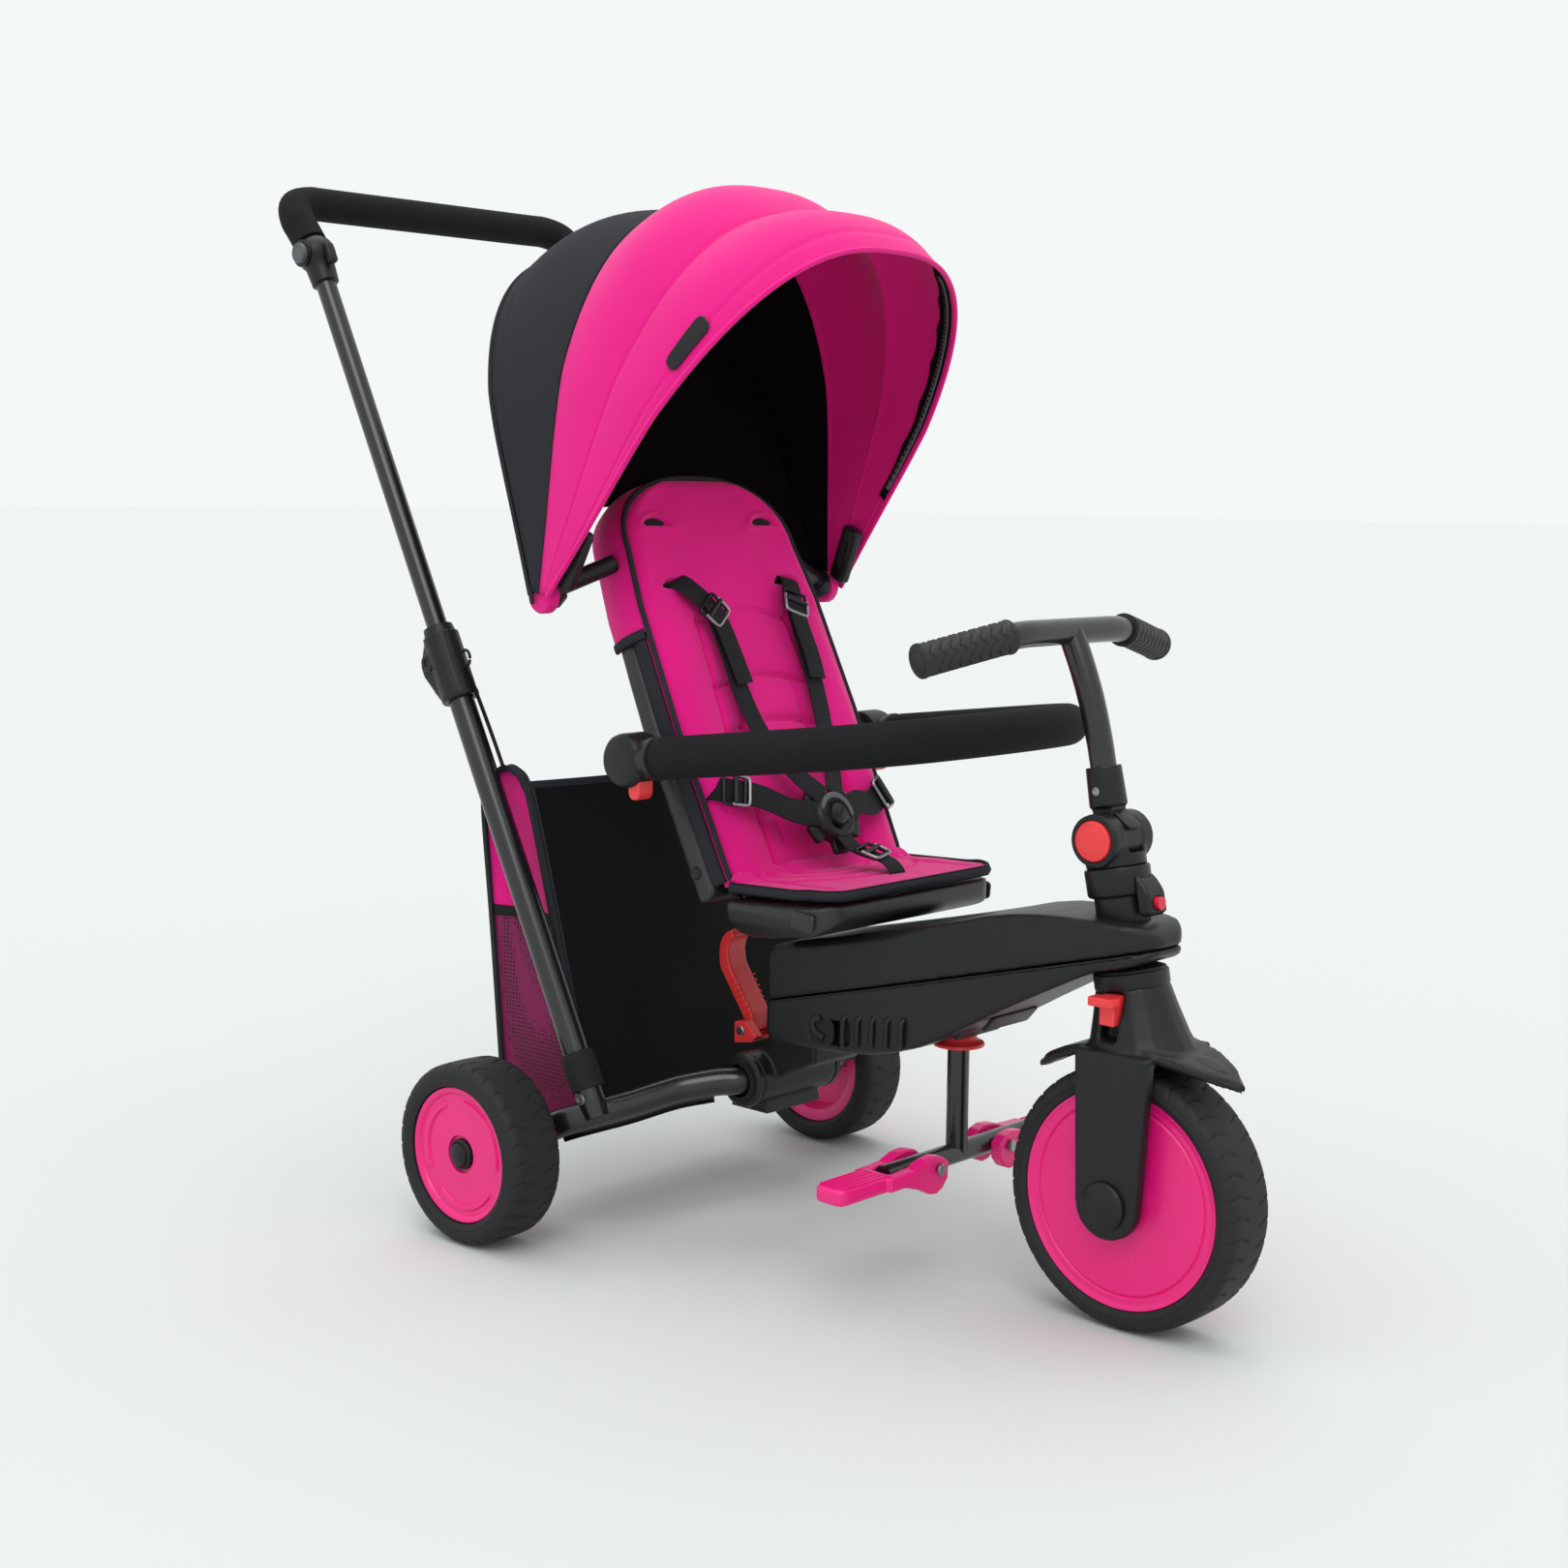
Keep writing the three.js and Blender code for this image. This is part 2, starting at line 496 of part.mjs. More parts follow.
const RECLINE = vec(-10, 0, 0).applyAxisAngle(vec(0, 1, 0), -BACK_LEAN).add(SEAT_REAR);
const lugHalf = 41;
const lug = join(
  rod(vec(RECLINE.x, -lugHalf, RECLINE.z), vec(RECLINE.x, lugHalf, RECLINE.z), 8, 20),
  plate([[156, 284.5], [186, 276], [186, 290], [160, 299]], -lugHalf, lugHalf),
);
const reclinePin = rod(vec(RECLINE.x, -70, RECLINE.z), vec(RECLINE.x, 70, RECLINE.z), 4, 16);
add("seat_pan", join(cut(panRaw, boomSpace), lug, reclinePin), BLACK, 0.6);
add("back_cushion", leaned(backSlab(107, BACK_L, 16, 0, 22, 5)), PINK, 0.8);

// ---- harness buckle ----
const BUCKLE = vec(191.5, 0, 353.5);
const buckleOut = vec(Math.cos(BACK_LEAN), 0, Math.sin(BACK_LEAN));
const housing = [[0, 0], [17, 0], [18, 3], [18, 8], [15, 10.5], [10, 10.5], [10, 5], [0, 5], [0, 0]];
add("buckle_housing", turned(housing, BUCKLE, buckleOut, 20), BLACK, 0.4);
add("buckle_button", turned([[0, 7.5], [9.5, 7.5], [9.5, 11.5], [8, 12.5], [0, 12.5]], BUCKLE, buckleOut, 16),
  BLACK, 0.35);

// ---- arm bar ----
const ARM_RISE = THREE.MathUtils.degToRad(7.2);
const armPlan = [[30, 147], [100, 147], [176, 144], [218, 132], [248, 104], [262, 60], [266, 0]];
const armPoints = [
  ...armPlan.map(([x, y]) => vec(x, -y, 0)),
  ...armPlan.slice(0, -1).reverse().map(([x, y]) => vec(x, y, 0)),
].map((p) => p.applyAxisAngle(vec(0, 1, 0), -ARM_RISE).add(ARM_PIVOT));
add("arm_bar", bent(armPoints, 17, 10, 26), BLACK, 0.85);
for (const [side, s] of SIDES) {
  const at = vec(ARM_PIVOT.x, 0, ARM_PIVOT.z);
  const profile = [[0, ARM_CAP_IN], [21, ARM_CAP_IN], [22, 134], [22, 157], [20, 161], [14, 163.5], [0, 164]];
  const capBody = turned(profile, at, vec(0, s, 0), 20);
  const stub = rod(
    vec(10, 0, 0).applyAxisAngle(vec(0, 1, 0), -ARM_RISE).add(at).setY(s * 147),
    vec(29.4, 0, 0).applyAxisAngle(vec(0, 1, 0), -ARM_RISE).add(at).setY(s * 147), 13.5, 20);
  const tabSlot = plate(
    [[at.x + 2, at.z - 30], [at.x + 16, at.z - 30], [at.x + 16, at.z - 8], [at.x + 2, at.z - 8]], s * 138, s * 156);
  add(`arm_cap_${side}`, cut(join(capBody, stub), tabSlot), TRIM, 0.45);
  const tab = new THREE.Shape();
  tab.moveTo(at.x + 2.6, at.z - 12);
  tab.lineTo(at.x + 2.6, at.z - 25);
  tab.absarc(at.x + 9, at.z - 25, 6.4, Math.PI, 2 * Math.PI);
  tab.lineTo(at.x + 15.4, at.z - 12);
  add(`arm_release_tab_${side}`, plate(tab, s * 139, s * 155, 0.8, 1), CORAL, 0.4);

  const hub = vec(CANOPY_PIVOT.x, s * 160, CANOPY_HUB_Z);
  const strap = rod(vec(hub.x + 14, s * 107, hub.z + 20), hub, 8, 12);
  const head = rod(hub, vec(hub.x, s * 168, CANOPY_PIVOT.z + 16), 13, 16);
  add(`canopy_bracket_${side}`, join(strap, head), TRIM, 0.5);
}

// ---- canopy: a thin dome carried on bows that meet at the side hubs ----
const CANOPY_REAR = 113; // degrees of the bow planes, up from straight ahead
const CANOPY_SEAMS = [CANOPY_REAR, 87, 68.5, 53];
const CANOPY_RADII = [332, 337, 350, 367]; // at the seams, on the centre plane
const LOBES = [9, 19, 13]; // how far the fabric stands out between bows, panel by panel
const ARCH_POWER = 2 / 2.6;
const CURTAIN_SHARE = 0.25; // of the grid: the flat curtain below the rear bow
const CURTAIN_LOW = 136; // the curtain's lower edge, from the pivot
const FLANK_DIP = 6; // how far the flanks fall in, below the shoulders
const CANOPY_FOOT = 0.008; // how close to the pivot the fabric runs, as a share of the arch

function canopyRadius(angle) {
  let i = 0;
  while (i < CANOPY_SEAMS.length - 2 && angle < CANOPY_SEAMS[i + 1]) i += 1;
  const t = (CANOPY_SEAMS[i] - angle) / (CANOPY_SEAMS[i] - CANOPY_SEAMS[i + 1]);
  const base = THREE.MathUtils.lerp(CANOPY_RADII[i], CANOPY_RADII[i + 1], t);
  return base + LOBES[i] * Math.sin(Math.PI * Math.min(1, Math.max(0, t)));
}

function canopyPoint(u, v, inset) {
  const spread = Math.max(0, (u - CURTAIN_SHARE) / (1 - CURTAIN_SHARE));
  const angle = THREE.MathUtils.lerp(CANOPY_SEAMS[0], CANOPY_SEAMS.at(-1), spread);
  const across = THREE.MathUtils.lerp(CANOPY_FOOT, 1 - CANOPY_FOOT, v) * Math.PI;
  const a = THREE.MathUtils.degToRad(angle);
  let radius = (canopyRadius(angle) - inset) * Math.sin(across) ** ARCH_POWER;
  let forward = 0;
  if (u < CURTAIN_SHARE + 1e-6) {
    radius = THREE.MathUtils.lerp(Math.min(CURTAIN_LOW, 0.6 * radius), radius, u / CURTAIN_SHARE);
    forward = inset;
  }
  const side = -Math.sign(Math.cos(across)) * Math.abs(Math.cos(across)) ** ARCH_POWER;
  const flank = FLANK_DIP * Math.sin(Math.PI * Math.min(1, radius / (0.6 * CANOPY_RADII[0])));
  return vec(
    CANOPY_PIVOT.x + radius * Math.cos(a) + forward * Math.sin(a),
    side * (CANOPY_HALF - flank - inset),
    CANOPY_PIVOT.z + radius * Math.sin(a) - forward * Math.cos(a),
  );
}

// A closed thin shell between two grids of points, point(u, v, inset), with inset 0 and `thickness`.
function thinShell(point, nu, nv, thickness) {
  const positions = [];
  const index = [];
  const id = (layer, i, j) => (layer * (nu + 1) + i) * (nv + 1) + j;
  for (const layer of [0, 1]) {
    for (let i = 0; i <= nu; i += 1) {
      for (let j = 0; j <= nv; j += 1) positions.push(...point(i / nu, j / nv, layer * thickness).toArray());
    }
  }
  const quad = (a, b, c, d) => index.push(a, c, b, a, d, c);
  for (let i = 0; i < nu; i += 1) {
    for (let j = 0; j < nv; j += 1) {
      quad(id(0, i, j), id(0, i, j + 1), id(0, i + 1, j + 1), id(0, i + 1, j));
      quad(id(1, i, j), id(1, i + 1, j), id(1, i + 1, j + 1), id(1, i, j + 1));
    }
  }
  for (let i = 0; i < nu; i += 1) {
    quad(id(0, i, 0), id(0, i + 1, 0), id(1, i + 1, 0), id(1, i, 0));
    quad(id(0, i, nv), id(1, i, nv), id(1, i + 1, nv), id(0, i + 1, nv));
  }
  for (let j = 0; j < nv; j += 1) {
    quad(id(0, 0, j), id(1, 0, j), id(1, 0, j + 1), id(0, 0, j + 1));
    quad(id(0, nu, j), id(0, nu, j + 1), id(1, nu, j + 1), id(1, nu, j));
  }
  const geometry = new THREE.BufferGeometry();
  geometry.setAttribute("position", new THREE.Float32BufferAttribute(positions, 3));
  geometry.setIndex(index);
  return geometry;
}
add("canopy_cover", thinShell(canopyPoint, 12, 16, 3), PINK, 0.85);

// ---- steering column and handlebar ----
const STEM_HINGE = onSteer(STEM_HINGE_UP);
const yAxisAt = (point, y) => vec(point.x, y, point.z);
add("steering_column", join(
  rod(onSteer(-33), onSteer(56), 10, 24),
  rod(onSteer(54), onSteer(67), 18, 22),
  turned([[0, 66], [23.5, 66], [24.5, 86], [0, 86]], STEER, steerUp, 24),
), BLACK, 0.45);
const stemBlock = (low, high) => block(low, high).rotateY(-STEER_TILT).translate(STEM_HINGE.x, 0, STEM_HINGE.z);
const hingeBase = join(
  turned([[0, 86 + GAP], [23, 86 + GAP], [23, 100], [0, 100]], STEER, steerUp, 24),
  rod(yAxisAt(STEM_HINGE, -25), yAxisAt(STEM_HINGE, 25), 20, 22),
);
const stemPinWay = rod(yAxisAt(STEM_HINGE, -40), yAxisAt(STEM_HINGE, 40), 4 + GAP, 16);
const stemPin = rod(yAxisAt(STEM_HINGE, -14), yAxisAt(STEM_HINGE, 24), 4, 16);
const stemButtonPit = rod(yAxisAt(STEM_HINGE, -17), yAxisAt(STEM_HINGE, -40), 15.5 + GAP, 20);
add("stem_hinge_base", join(
  cut(hingeBase, stemBlock([-30, -10, -12], [30, 10, 40]), stemButtonPit),
  stemPin,
), TRIM, 0.5);
add("stem_release_button", turned(
  [[0, 20.8], [15.5, 20.8], [15.5, 27], [14, 28.5], [0, 29]], STEM_HINGE, vec(0, -1, 0), 20), CORAL, 0.35);
const tongue = join(
  rod(yAxisAt(STEM_HINGE, -9.6), yAxisAt(STEM_HINGE, 9.6), 11.4, 24),
  stemBlock([-9, -9.6, 0], [9, 9.6, 26]),
  turned([[0, STEM_HINGE_UP + 24], [14.5, STEM_HINGE_UP + 24], [13.5, STEM_HINGE_UP + 54],
    [0, STEM_HINGE_UP + 54]], STEER, steerUp, 28),
);
const stemPath = [STEM_HINGE_UP + 32, 165, 185, 213, 240, 263].map((d, i) =>
  onSteer(d).add(vec(-[0, 0, 0.6, 3, 8, 14][i], 0, 0)));
const stemTube = bent(stemPath, 10, 10, 10);
const stemBore = bent(stemPath, 10 + GAP, 10, 10);
const swallow = common(stemBore, turned([[0, 0], [40, 0], [40, 200], [0, 200]], STEER, steerUp, 12));
add("stem_socket", cut(tongue, stemPinWay, swallow), TRIM, 0.5);
const BAR_Z = stemPath.at(-1).z;
const BAR_X = stemPath.at(-1).x;
const barHalf = [[0, 0], [30, 0], [60, 0.5], [86, 5], [119, 14], [148, 22]];
const barPoints = [
  ...barHalf.slice(1).reverse().map(([y, back]) => vec(BAR_X - back, -y, BAR_Z - back * 0.75)),
  ...barHalf.map(([y, back]) => vec(BAR_X - back, y, BAR_Z - back * 0.75)),
];
const crossBar = bent(barPoints, 10, 10, 18);
add("handlebar", join(stemTube, crossBar), BLACK, 0.3, 0.3);
const gripPath = barHalf.slice(3).concat([[152, 23.2]]);
for (const [side, s] of SIDES) {
  const path = gripPath.map(([y, back]) => vec(BAR_X - back, s * y, BAR_Z - back * 0.75));
  const body = bent(path, 12.5, 12, 6);
  add(`handlebar_grip_${side}`, cut(body, bent(barPoints, 10 + GAP, 10, 18)), BLACK, 0.8);
}
// The lock housing stands in front of the column, clear of it.
const LOCK = onSteer(62);
const lockProfile = new THREE.Shape();
lockProfile.moveTo(LOCK.x + 12, LOCK.z + 24);
lockProfile.quadraticCurveTo(LOCK.x + 23, LOCK.z + 22, LOCK.x + 31, LOCK.z + 9);
lockProfile.lineTo(LOCK.x + 34, LOCK.z - 5);
lockProfile.lineTo(LOCK.x + 30, LOCK.z - 9);
lockProfile.lineTo(LOCK.x + 16, LOCK.z - 8);
const lockWell = rod(vec(LOCK.x + 24, 0, LOCK.z + 1), vec(LOCK.x + 50, 0, LOCK.z + 1), 5 + GAP, 14);
const collarSpace = rod(onSteer(40), onSteer(95), 24.5 + 2 * GAP, 24);
add("lock_housing", cut(plate(lockProfile, -12, 12, 2, 1), lockWell, collarSpace), BLACK, 0.35);
add("steering_lock_button",
  rod(vec(LOCK.x + 28, 0, LOCK.z + 1), vec(LOCK.x + 36.5, 0, LOCK.z + 1), 5, 14), 0xd01f3c, 0.3);

// ---- footrest ----
const POST_TOP = 238;
const POST_R = 8.8;
const CROSS_HALF = 92;
const PEG_PIVOT_Y = 46;
const pegPinWay = (s) => rod(vec(POST_X - 30, s * PEG_PIVOT_Y, PEG_Z), vec(POST_X + 30, s * PEG_PIVOT_Y, PEG_Z), 3.4);
add("footrest_frame", cut(join(
  rod(vec(POST_X, 0, PEG_Z), vec(POST_X, 0, POST_TOP), POST_R),
  rod(vec(POST_X, -CROSS_HALF, PEG_Z), vec(POST_X, CROSS_HALF, PEG_Z), 8.5),
), pegPinWay(-1), pegPinWay(1)), BLACK, 0.4, 0.2);
add("footrest_latch", turned(
  [[9.4, 185], [20, 185], [20, 188], [14, 190.5], [14, 203], [9.4, 203], [9.4, 185]],
  vec(POST_X, 0, 0), vec(0, 0, 1)), CORAL, 0.4);

// A peg's two cheeks straddle the cross tube and turn about a pin through it; its deck lies outboard.
function footPeg(s) {
  const cheek = new THREE.Shape();
  cheek.moveTo(s * (PEG_PIVOT_Y - 13), PEG_Z + 3);
  cheek.lineTo(s * (PEG_PIVOT_Y - 12), PEG_Z - 10);
  cheek.quadraticCurveTo(s * PEG_PIVOT_Y, PEG_Z - 28, s * (PEG_PIVOT_Y + 18), PEG_Z - 14);
  cheek.lineTo(s * (PEG_PIVOT_Y + 40), PEG_Z - 7);
  cheek.lineTo(s * (CROSS_HALF + 12), PEG_Z - 7);
  cheek.lineTo(s * (CROSS_HALF + 12), PEG_Z + 4);
  cheek.lineTo(s * (PEG_PIVOT_Y + 30), PEG_Z + 5);
  cheek.quadraticCurveTo(s * PEG_PIVOT_Y, PEG_Z + 18, s * (PEG_PIVOT_Y - 13), PEG_Z + 3);
  const slice = () => new THREE.ExtrudeGeometry(cheek, { depth: 10, bevelEnabled: false, curveSegments: 4 })
    .rotateX(Math.PI / 2).rotateZ(Math.PI / 2);
  const slab = new THREE.Shape();
  slab.moveTo(POST_X - 14, s * (CROSS_HALF + 4));
  slab.lineTo(POST_X - 14, s * 150);
  slab.quadraticCurveTo(POST_X - 14, s * 158, POST_X - 6, s * 158);
  slab.lineTo(POST_X + 7, s * 158);
  slab.quadraticCurveTo(POST_X + 15, s * 158, POST_X + 15, s * 150);
  slab.lineTo(POST_X + 15, s * (CROSS_HALF + 4));
  const deck = new THREE.ExtrudeGeometry(slab, {
    depth: 9, curveSegments: 3, bevelEnabled: true, bevelThickness: 2, bevelSize: 2, bevelOffset: -2,
    bevelSegments: 1,
  }).translate(0, 0, PEG_Z - 6);
  return cut(join(deck, slice().translate(POST_X + 9, 0, 0), slice().translate(POST_X - 19, 0, 0)), pegPinWay(s));
}
for (const [side, s] of SIDES) add(`foot_peg_${side}`, footPeg(s), PINK, 0.45);

export default trike;
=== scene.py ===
"""A folding children's tricycle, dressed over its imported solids.

Places are given by at(x, y, z) in millimetres: x ahead of the rear axle, y to the rider's left, z up.
"""

import math

import bpy
import numpy as np
from mathutils import Matrix, Vector


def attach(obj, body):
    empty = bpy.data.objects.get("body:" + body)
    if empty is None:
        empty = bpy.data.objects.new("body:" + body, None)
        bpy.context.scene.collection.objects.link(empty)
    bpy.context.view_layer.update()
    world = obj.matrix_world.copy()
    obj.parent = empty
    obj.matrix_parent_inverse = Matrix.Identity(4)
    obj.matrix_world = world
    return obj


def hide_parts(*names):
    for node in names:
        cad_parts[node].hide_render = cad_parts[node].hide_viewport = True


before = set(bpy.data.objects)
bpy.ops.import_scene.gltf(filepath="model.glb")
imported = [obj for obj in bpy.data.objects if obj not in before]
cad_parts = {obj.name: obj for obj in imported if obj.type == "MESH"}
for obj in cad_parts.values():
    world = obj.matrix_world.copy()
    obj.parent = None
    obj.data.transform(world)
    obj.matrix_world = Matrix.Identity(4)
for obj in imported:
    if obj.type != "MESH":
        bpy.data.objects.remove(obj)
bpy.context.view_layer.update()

MM = 0.001
AHEAD = 132.3  # the row's origin, ahead of the rear axle, in mm
SIDES = (("right", -1), ("left", 1))


def at(x, y, z):
    """A point in the row frame, in metres."""
    return Vector(((x - AHEAD) * MM, y * MM, z * MM))


# ---- camera, floor and light ----
def place_camera():
    azimuth = math.radians(42.387)
    elevation = math.radians(7.282)
    roll = math.radians(0.686)
    back = Vector((
        math.sin(azimuth) * math.cos(elevation),
        -math.cos(azimuth) * math.cos(elevation),
        math.sin(elevation),
    ))
    level = Vector((math.cos(azimuth), math.sin(azimuth), 0))
    lift = back.cross(level)
    right = math.cos(roll) * level + math.sin(roll) * lift
    up = math.cos(roll) * lift - math.sin(roll) * level
    turn = Matrix((right, up, back)).transposed().to_4x4()
    data = bpy.data.cameras.new("camera")
    data.sensor_width = 36
    data.lens = 52.24
    camera = bpy.data.objects.new("camera", data)
    camera.matrix_world = Matrix.Translation(at(1423.4, -1407.6, 620.3)) @ turn
    bpy.context.scene.collection.objects.link(camera)
    bpy.context.scene.camera = camera


def sun(name, place, power, spread):
    """A wide, soft light from the direction of a place."""
    data = bpy.data.lights.new(name, "SUN")
    data.energy = power
    data.angle = math.radians(spread)
    light = bpy.data.objects.new(name, data)
    light.rotation_euler = Vector(place).to_track_quat("Z", "Y").to_euler()
    bpy.context.scene.collection.objects.link(light)


def light_studio():
    world = bpy.data.worlds.new("studio")
    world.use_nodes = True
    background = world.node_tree.nodes["Background"]
    background.inputs["Color"].default_value = (0.905, 0.935, 0.93, 1)
    background.inputs["Strength"].default_value = 1.0
    bpy.context.scene.world = world
    bpy.context.scene.view_settings.view_transform = "Standard"
    sun("key_light", (0.9, -1.0, 1.5), 0.9, 35)
    sun("top_light", (-0.4, 0.3, 2.4), 1.1, 60)
    floor_material = bpy.data.materials.new("floor_material")
    floor_material.use_nodes = True
    shader = floor_material.node_tree.nodes["Principled BSDF"]
    shader.inputs["Base Color"].default_value = (0.60, 0.612, 0.61, 1)
    shader.inputs["Roughness"].default_value = 1
    shader.inputs["Specular IOR Level"].default_value = 0
    mesh = bpy.data.meshes.new("floor")
    reach = 60
    corners = [(-reach, -reach, 0), (reach, -reach, 0), (reach, reach, 0), (-reach, reach, 0)]
    mesh.from_pydata(corners, [], [(0, 1, 2, 3)])
    mesh.materials.append(floor_material)
    floor = bpy.data.objects.new("floor", mesh)
    floor.location.z = -0.0006
    bpy.context.scene.collection.objects.link(floor)


# ---- materials ----
def linear(red, green, blue):
    """A screen colour, 0 to 255, as the linear values that a shader takes."""
    def one(value):
        value /= 255
        return value / 12.92 if value <= 0.04045 else ((value + 0.055) / 1.055) ** 2.4
    return (one(red), one(green), one(blue), 1)


def scaled(color, factor):
    return tuple(min(1, c * factor) for c in color[:3]) + (1,)


def surface(name, color, roughness, grain=0.0, grain_scale=1400, spread=0.06, metallic=0.0, coat=0.0,
            sheen=0.0, weave=0.0, weave_pitch=0.9, patch_scale=9, shine=0.5):
    """A shader with slow colour drift, fine grain in the bump, and a woven bump where asked."""
    material = bpy.data.materials.new(name)
    material.use_nodes = True
    tree = material.node_tree
    shader = tree.nodes["Principled BSDF"]
    shader.inputs["Metallic"].default_value = metallic
    shader.inputs["Specular IOR Level"].default_value = shine
    shader.inputs["Coat Weight"].default_value = coat
    shader.inputs["Coat Roughness"].default_value = 0.12
    shader.inputs["Sheen Weight"].default_value = sheen
    shader.inputs["Sheen Roughness"].default_value = 0.5
    place = tree.nodes.new("ShaderNodeTexCoord").outputs["Object"]

    def noise(scale, detail):
        node = tree.nodes.new("ShaderNodeTexNoise")
        node.inputs["Scale"].default_value = scale
        node.inputs["Detail"].default_value = detail
        tree.links.new(place, node.inputs["Vector"])
        return node.outputs["Fac"]

    patches = noise(patch_scale, 4)
    ramp = tree.nodes.new("ShaderNodeValToRGB")
    ramp.color_ramp.elements[0].position = 0.3
    ramp.color_ramp.elements[1].position = 0.7
    ramp.color_ramp.elements[0].color = scaled(color, 1 - spread)
    ramp.color_ramp.elements[1].color = scaled(color, 1 + spread)
    tree.links.new(patches, ramp.inputs["Fac"])
    tree.links.new(ramp.outputs["Color"], shader.inputs["Base Color"])
    fine = noise(grain_scale, 3)
    rough = tree.nodes.new("ShaderNodeMapRange")
    rough.inputs["To Min"].default_value = max(0.02, roughness - 0.07)
    rough.inputs["To Max"].default_value = min(1, roughness + 0.07)
    tree.links.new(fine, rough.inputs["Value"])
    tree.links.new(rough.outputs["Result"], shader.inputs["Roughness"])
    height = fine
    if weave:
        parts = tree.nodes.new("ShaderNodeSeparateXYZ")
        tree.links.new(place, parts.inputs["Vector"])
        total = None
        for axis in "XYZ":
            turns = tree.nodes.new("ShaderNodeMath")
            turns.operation = "MULTIPLY"
            turns.inputs[1].default_value = math.tau / (weave_pitch * MM)
            tree.links.new(parts.outputs[axis], turns.inputs[0])
            wave = tree.nodes.new("ShaderNodeMath")
            wave.operation = "SINE"
            tree.links.new(turns.outputs[0], wave.inputs[0])
            if total is None:
                total = wave.outputs[0]
                continue
            both = tree.nodes.new("ShaderNodeMath")
            both.operation = "ADD"
            tree.links.new(total, both.inputs[0])
            tree.links.new(wave.outputs[0], both.inputs[1])
            total = both.outputs[0]
        mixed = tree.nodes.new("ShaderNodeMath")
        mixed.operation = "MULTIPLY_ADD"
        mixed.inputs[1].default_value = weave
        tree.links.new(total, mixed.inputs[0])
        tree.links.new(fine, mixed.inputs[2])
        height = mixed.outputs[0]
    if grain or weave:
        bump = tree.nodes.new("ShaderNodeBump")
        bump.inputs["Strength"].default_value = max(grain, 0.15)
        bump.inputs["Distance"].default_value = 0.0004
        tree.links.new(height, bump.inputs["Height"])
        tree.links.new(bump.outputs["Normal"], shader.inputs["Normal"])
    return material


def mesh_cloth(name, ground, thread, pitch):
    """An open knit: small dark cells between brighter threads."""
    material = surface(name, ground, 0.8, grain=0.3)
    tree = material.node_tree
    shader = tree.nodes["Principled BSDF"]
    place = tree.nodes.new("ShaderNodeTexCoord").outputs["Object"]
    cells = tree.nodes.new("ShaderNodeTexVoronoi")
    cells.feature = "DISTANCE_TO_EDGE"
    cells.inputs["Scale"].default_value = 1 / (pitch * MM)
    cells.inputs["Randomness"].default_value = 0.25
    tree.links.new(place, cells.inputs["Vector"])
    ramp = tree.nodes.new("ShaderNodeValToRGB")
    ramp.color_ramp.elements[0].position = 0.12
    ramp.color_ramp.elements[0].color = thread
    ramp.color_ramp.elements[1].position = 0.26
    ramp.color_ramp.elements[1].color = ground
    tree.links.new(cells.outputs["Distance"], ramp.inputs["Fac"])
    tree.links.new(ramp.outputs["Color"], shader.inputs["Base Color"])
    return material


PINK = linear(232, 20, 122)
PINK_CLOTH = linear(222, 10, 128)
CORAL = linear(232, 56, 60)

LOOK = {
    "tyre_rubber": surface("tyre_rubber", linear(33, 33, 35), 0.66, grain=0.35, grain_scale=900, shine=0.3),
    "grip_rubber": surface("grip_rubber", linear(25, 25, 27), 0.6, grain=0.3, grain_scale=1500),
    "grip_foam": surface("grip_foam", linear(27, 27, 29), 0.85, grain=0.55, grain_scale=1300, shine=0.15),
    "pink_plastic": surface("pink_plastic", PINK, 0.34, grain=0.05, spread=0.03),
    "canopy_fabric": surface("canopy_fabric", PINK_CLOTH, 0.72, 0.18, sheen=0.15, shine=0.2, weave=0.12,
                             spread=0.05),
    "liner_fabric": surface("liner_fabric", PINK_CLOTH, 0.78, 0.2, sheen=0.15, shine=0.2, weave=0.1,
                            weave_pitch=0.7),
    "bag_fabric": surface("bag_fabric", linear(12, 12, 14), 0.7, 0.2, weave=0.15, shine=0.15),
    "black_tube": surface("black_tube", linear(17, 17, 19), 0.28, spread=0.03, coat=0.3),
    "coral_plastic": surface("coral_plastic", CORAL, 0.36, grain=0.06, spread=0.03),
    "grey_plastic": surface("grey_plastic", linear(84, 86, 90), 0.5, grain=0.1),
    "black_plastic": surface("black_plastic", linear(24, 25, 27), 0.38, grain=0.16, grain_scale=1800,
                             shine=0.3),
}
BLACK_CLOTH = surface("black_cloth", linear(42, 43, 48), 0.8, 0.2, weave=0.12, shine=0.15)
LINING = surface("dark_lining", linear(13, 13, 14), 0.9, 0.2, weave=0.12, shine=0.1)
SATIN_BLACK = surface("satin_black", linear(25, 25, 27), 0.42, grain=0.14, grain_scale=1700, shine=0.3)
GRAINED = surface("grained_black", linear(31, 31, 34), 0.42, grain=1.0, grain_scale=620)
WEBBING = surface("webbing", linear(26, 26, 29), 0.7, grain=0.4, weave=0.6, weave_pitch=1.5, shine=0.2)
DARK_METAL = surface("dark_metal", linear(150, 150, 155), 0.3, grain=0.05, metallic=0.9)
# Near-black: painted shade in the strap slots, the bow clips' slots and the boom's side recess; also the
# real colour of the zip's teeth.
SLOT_SHADE_AND_ZIP_BLACK = surface("slot_shade_and_zip_black", linear(16, 14, 16), 0.9, grain=0.2)
CRIMSON = surface("crimson_plastic", linear(208, 30, 60), 0.3, spread=0.03)
BURGUNDY_MESH = mesh_cloth("burgundy_mesh", linear(30, 6, 20), linear(128, 14, 78), 3.4)


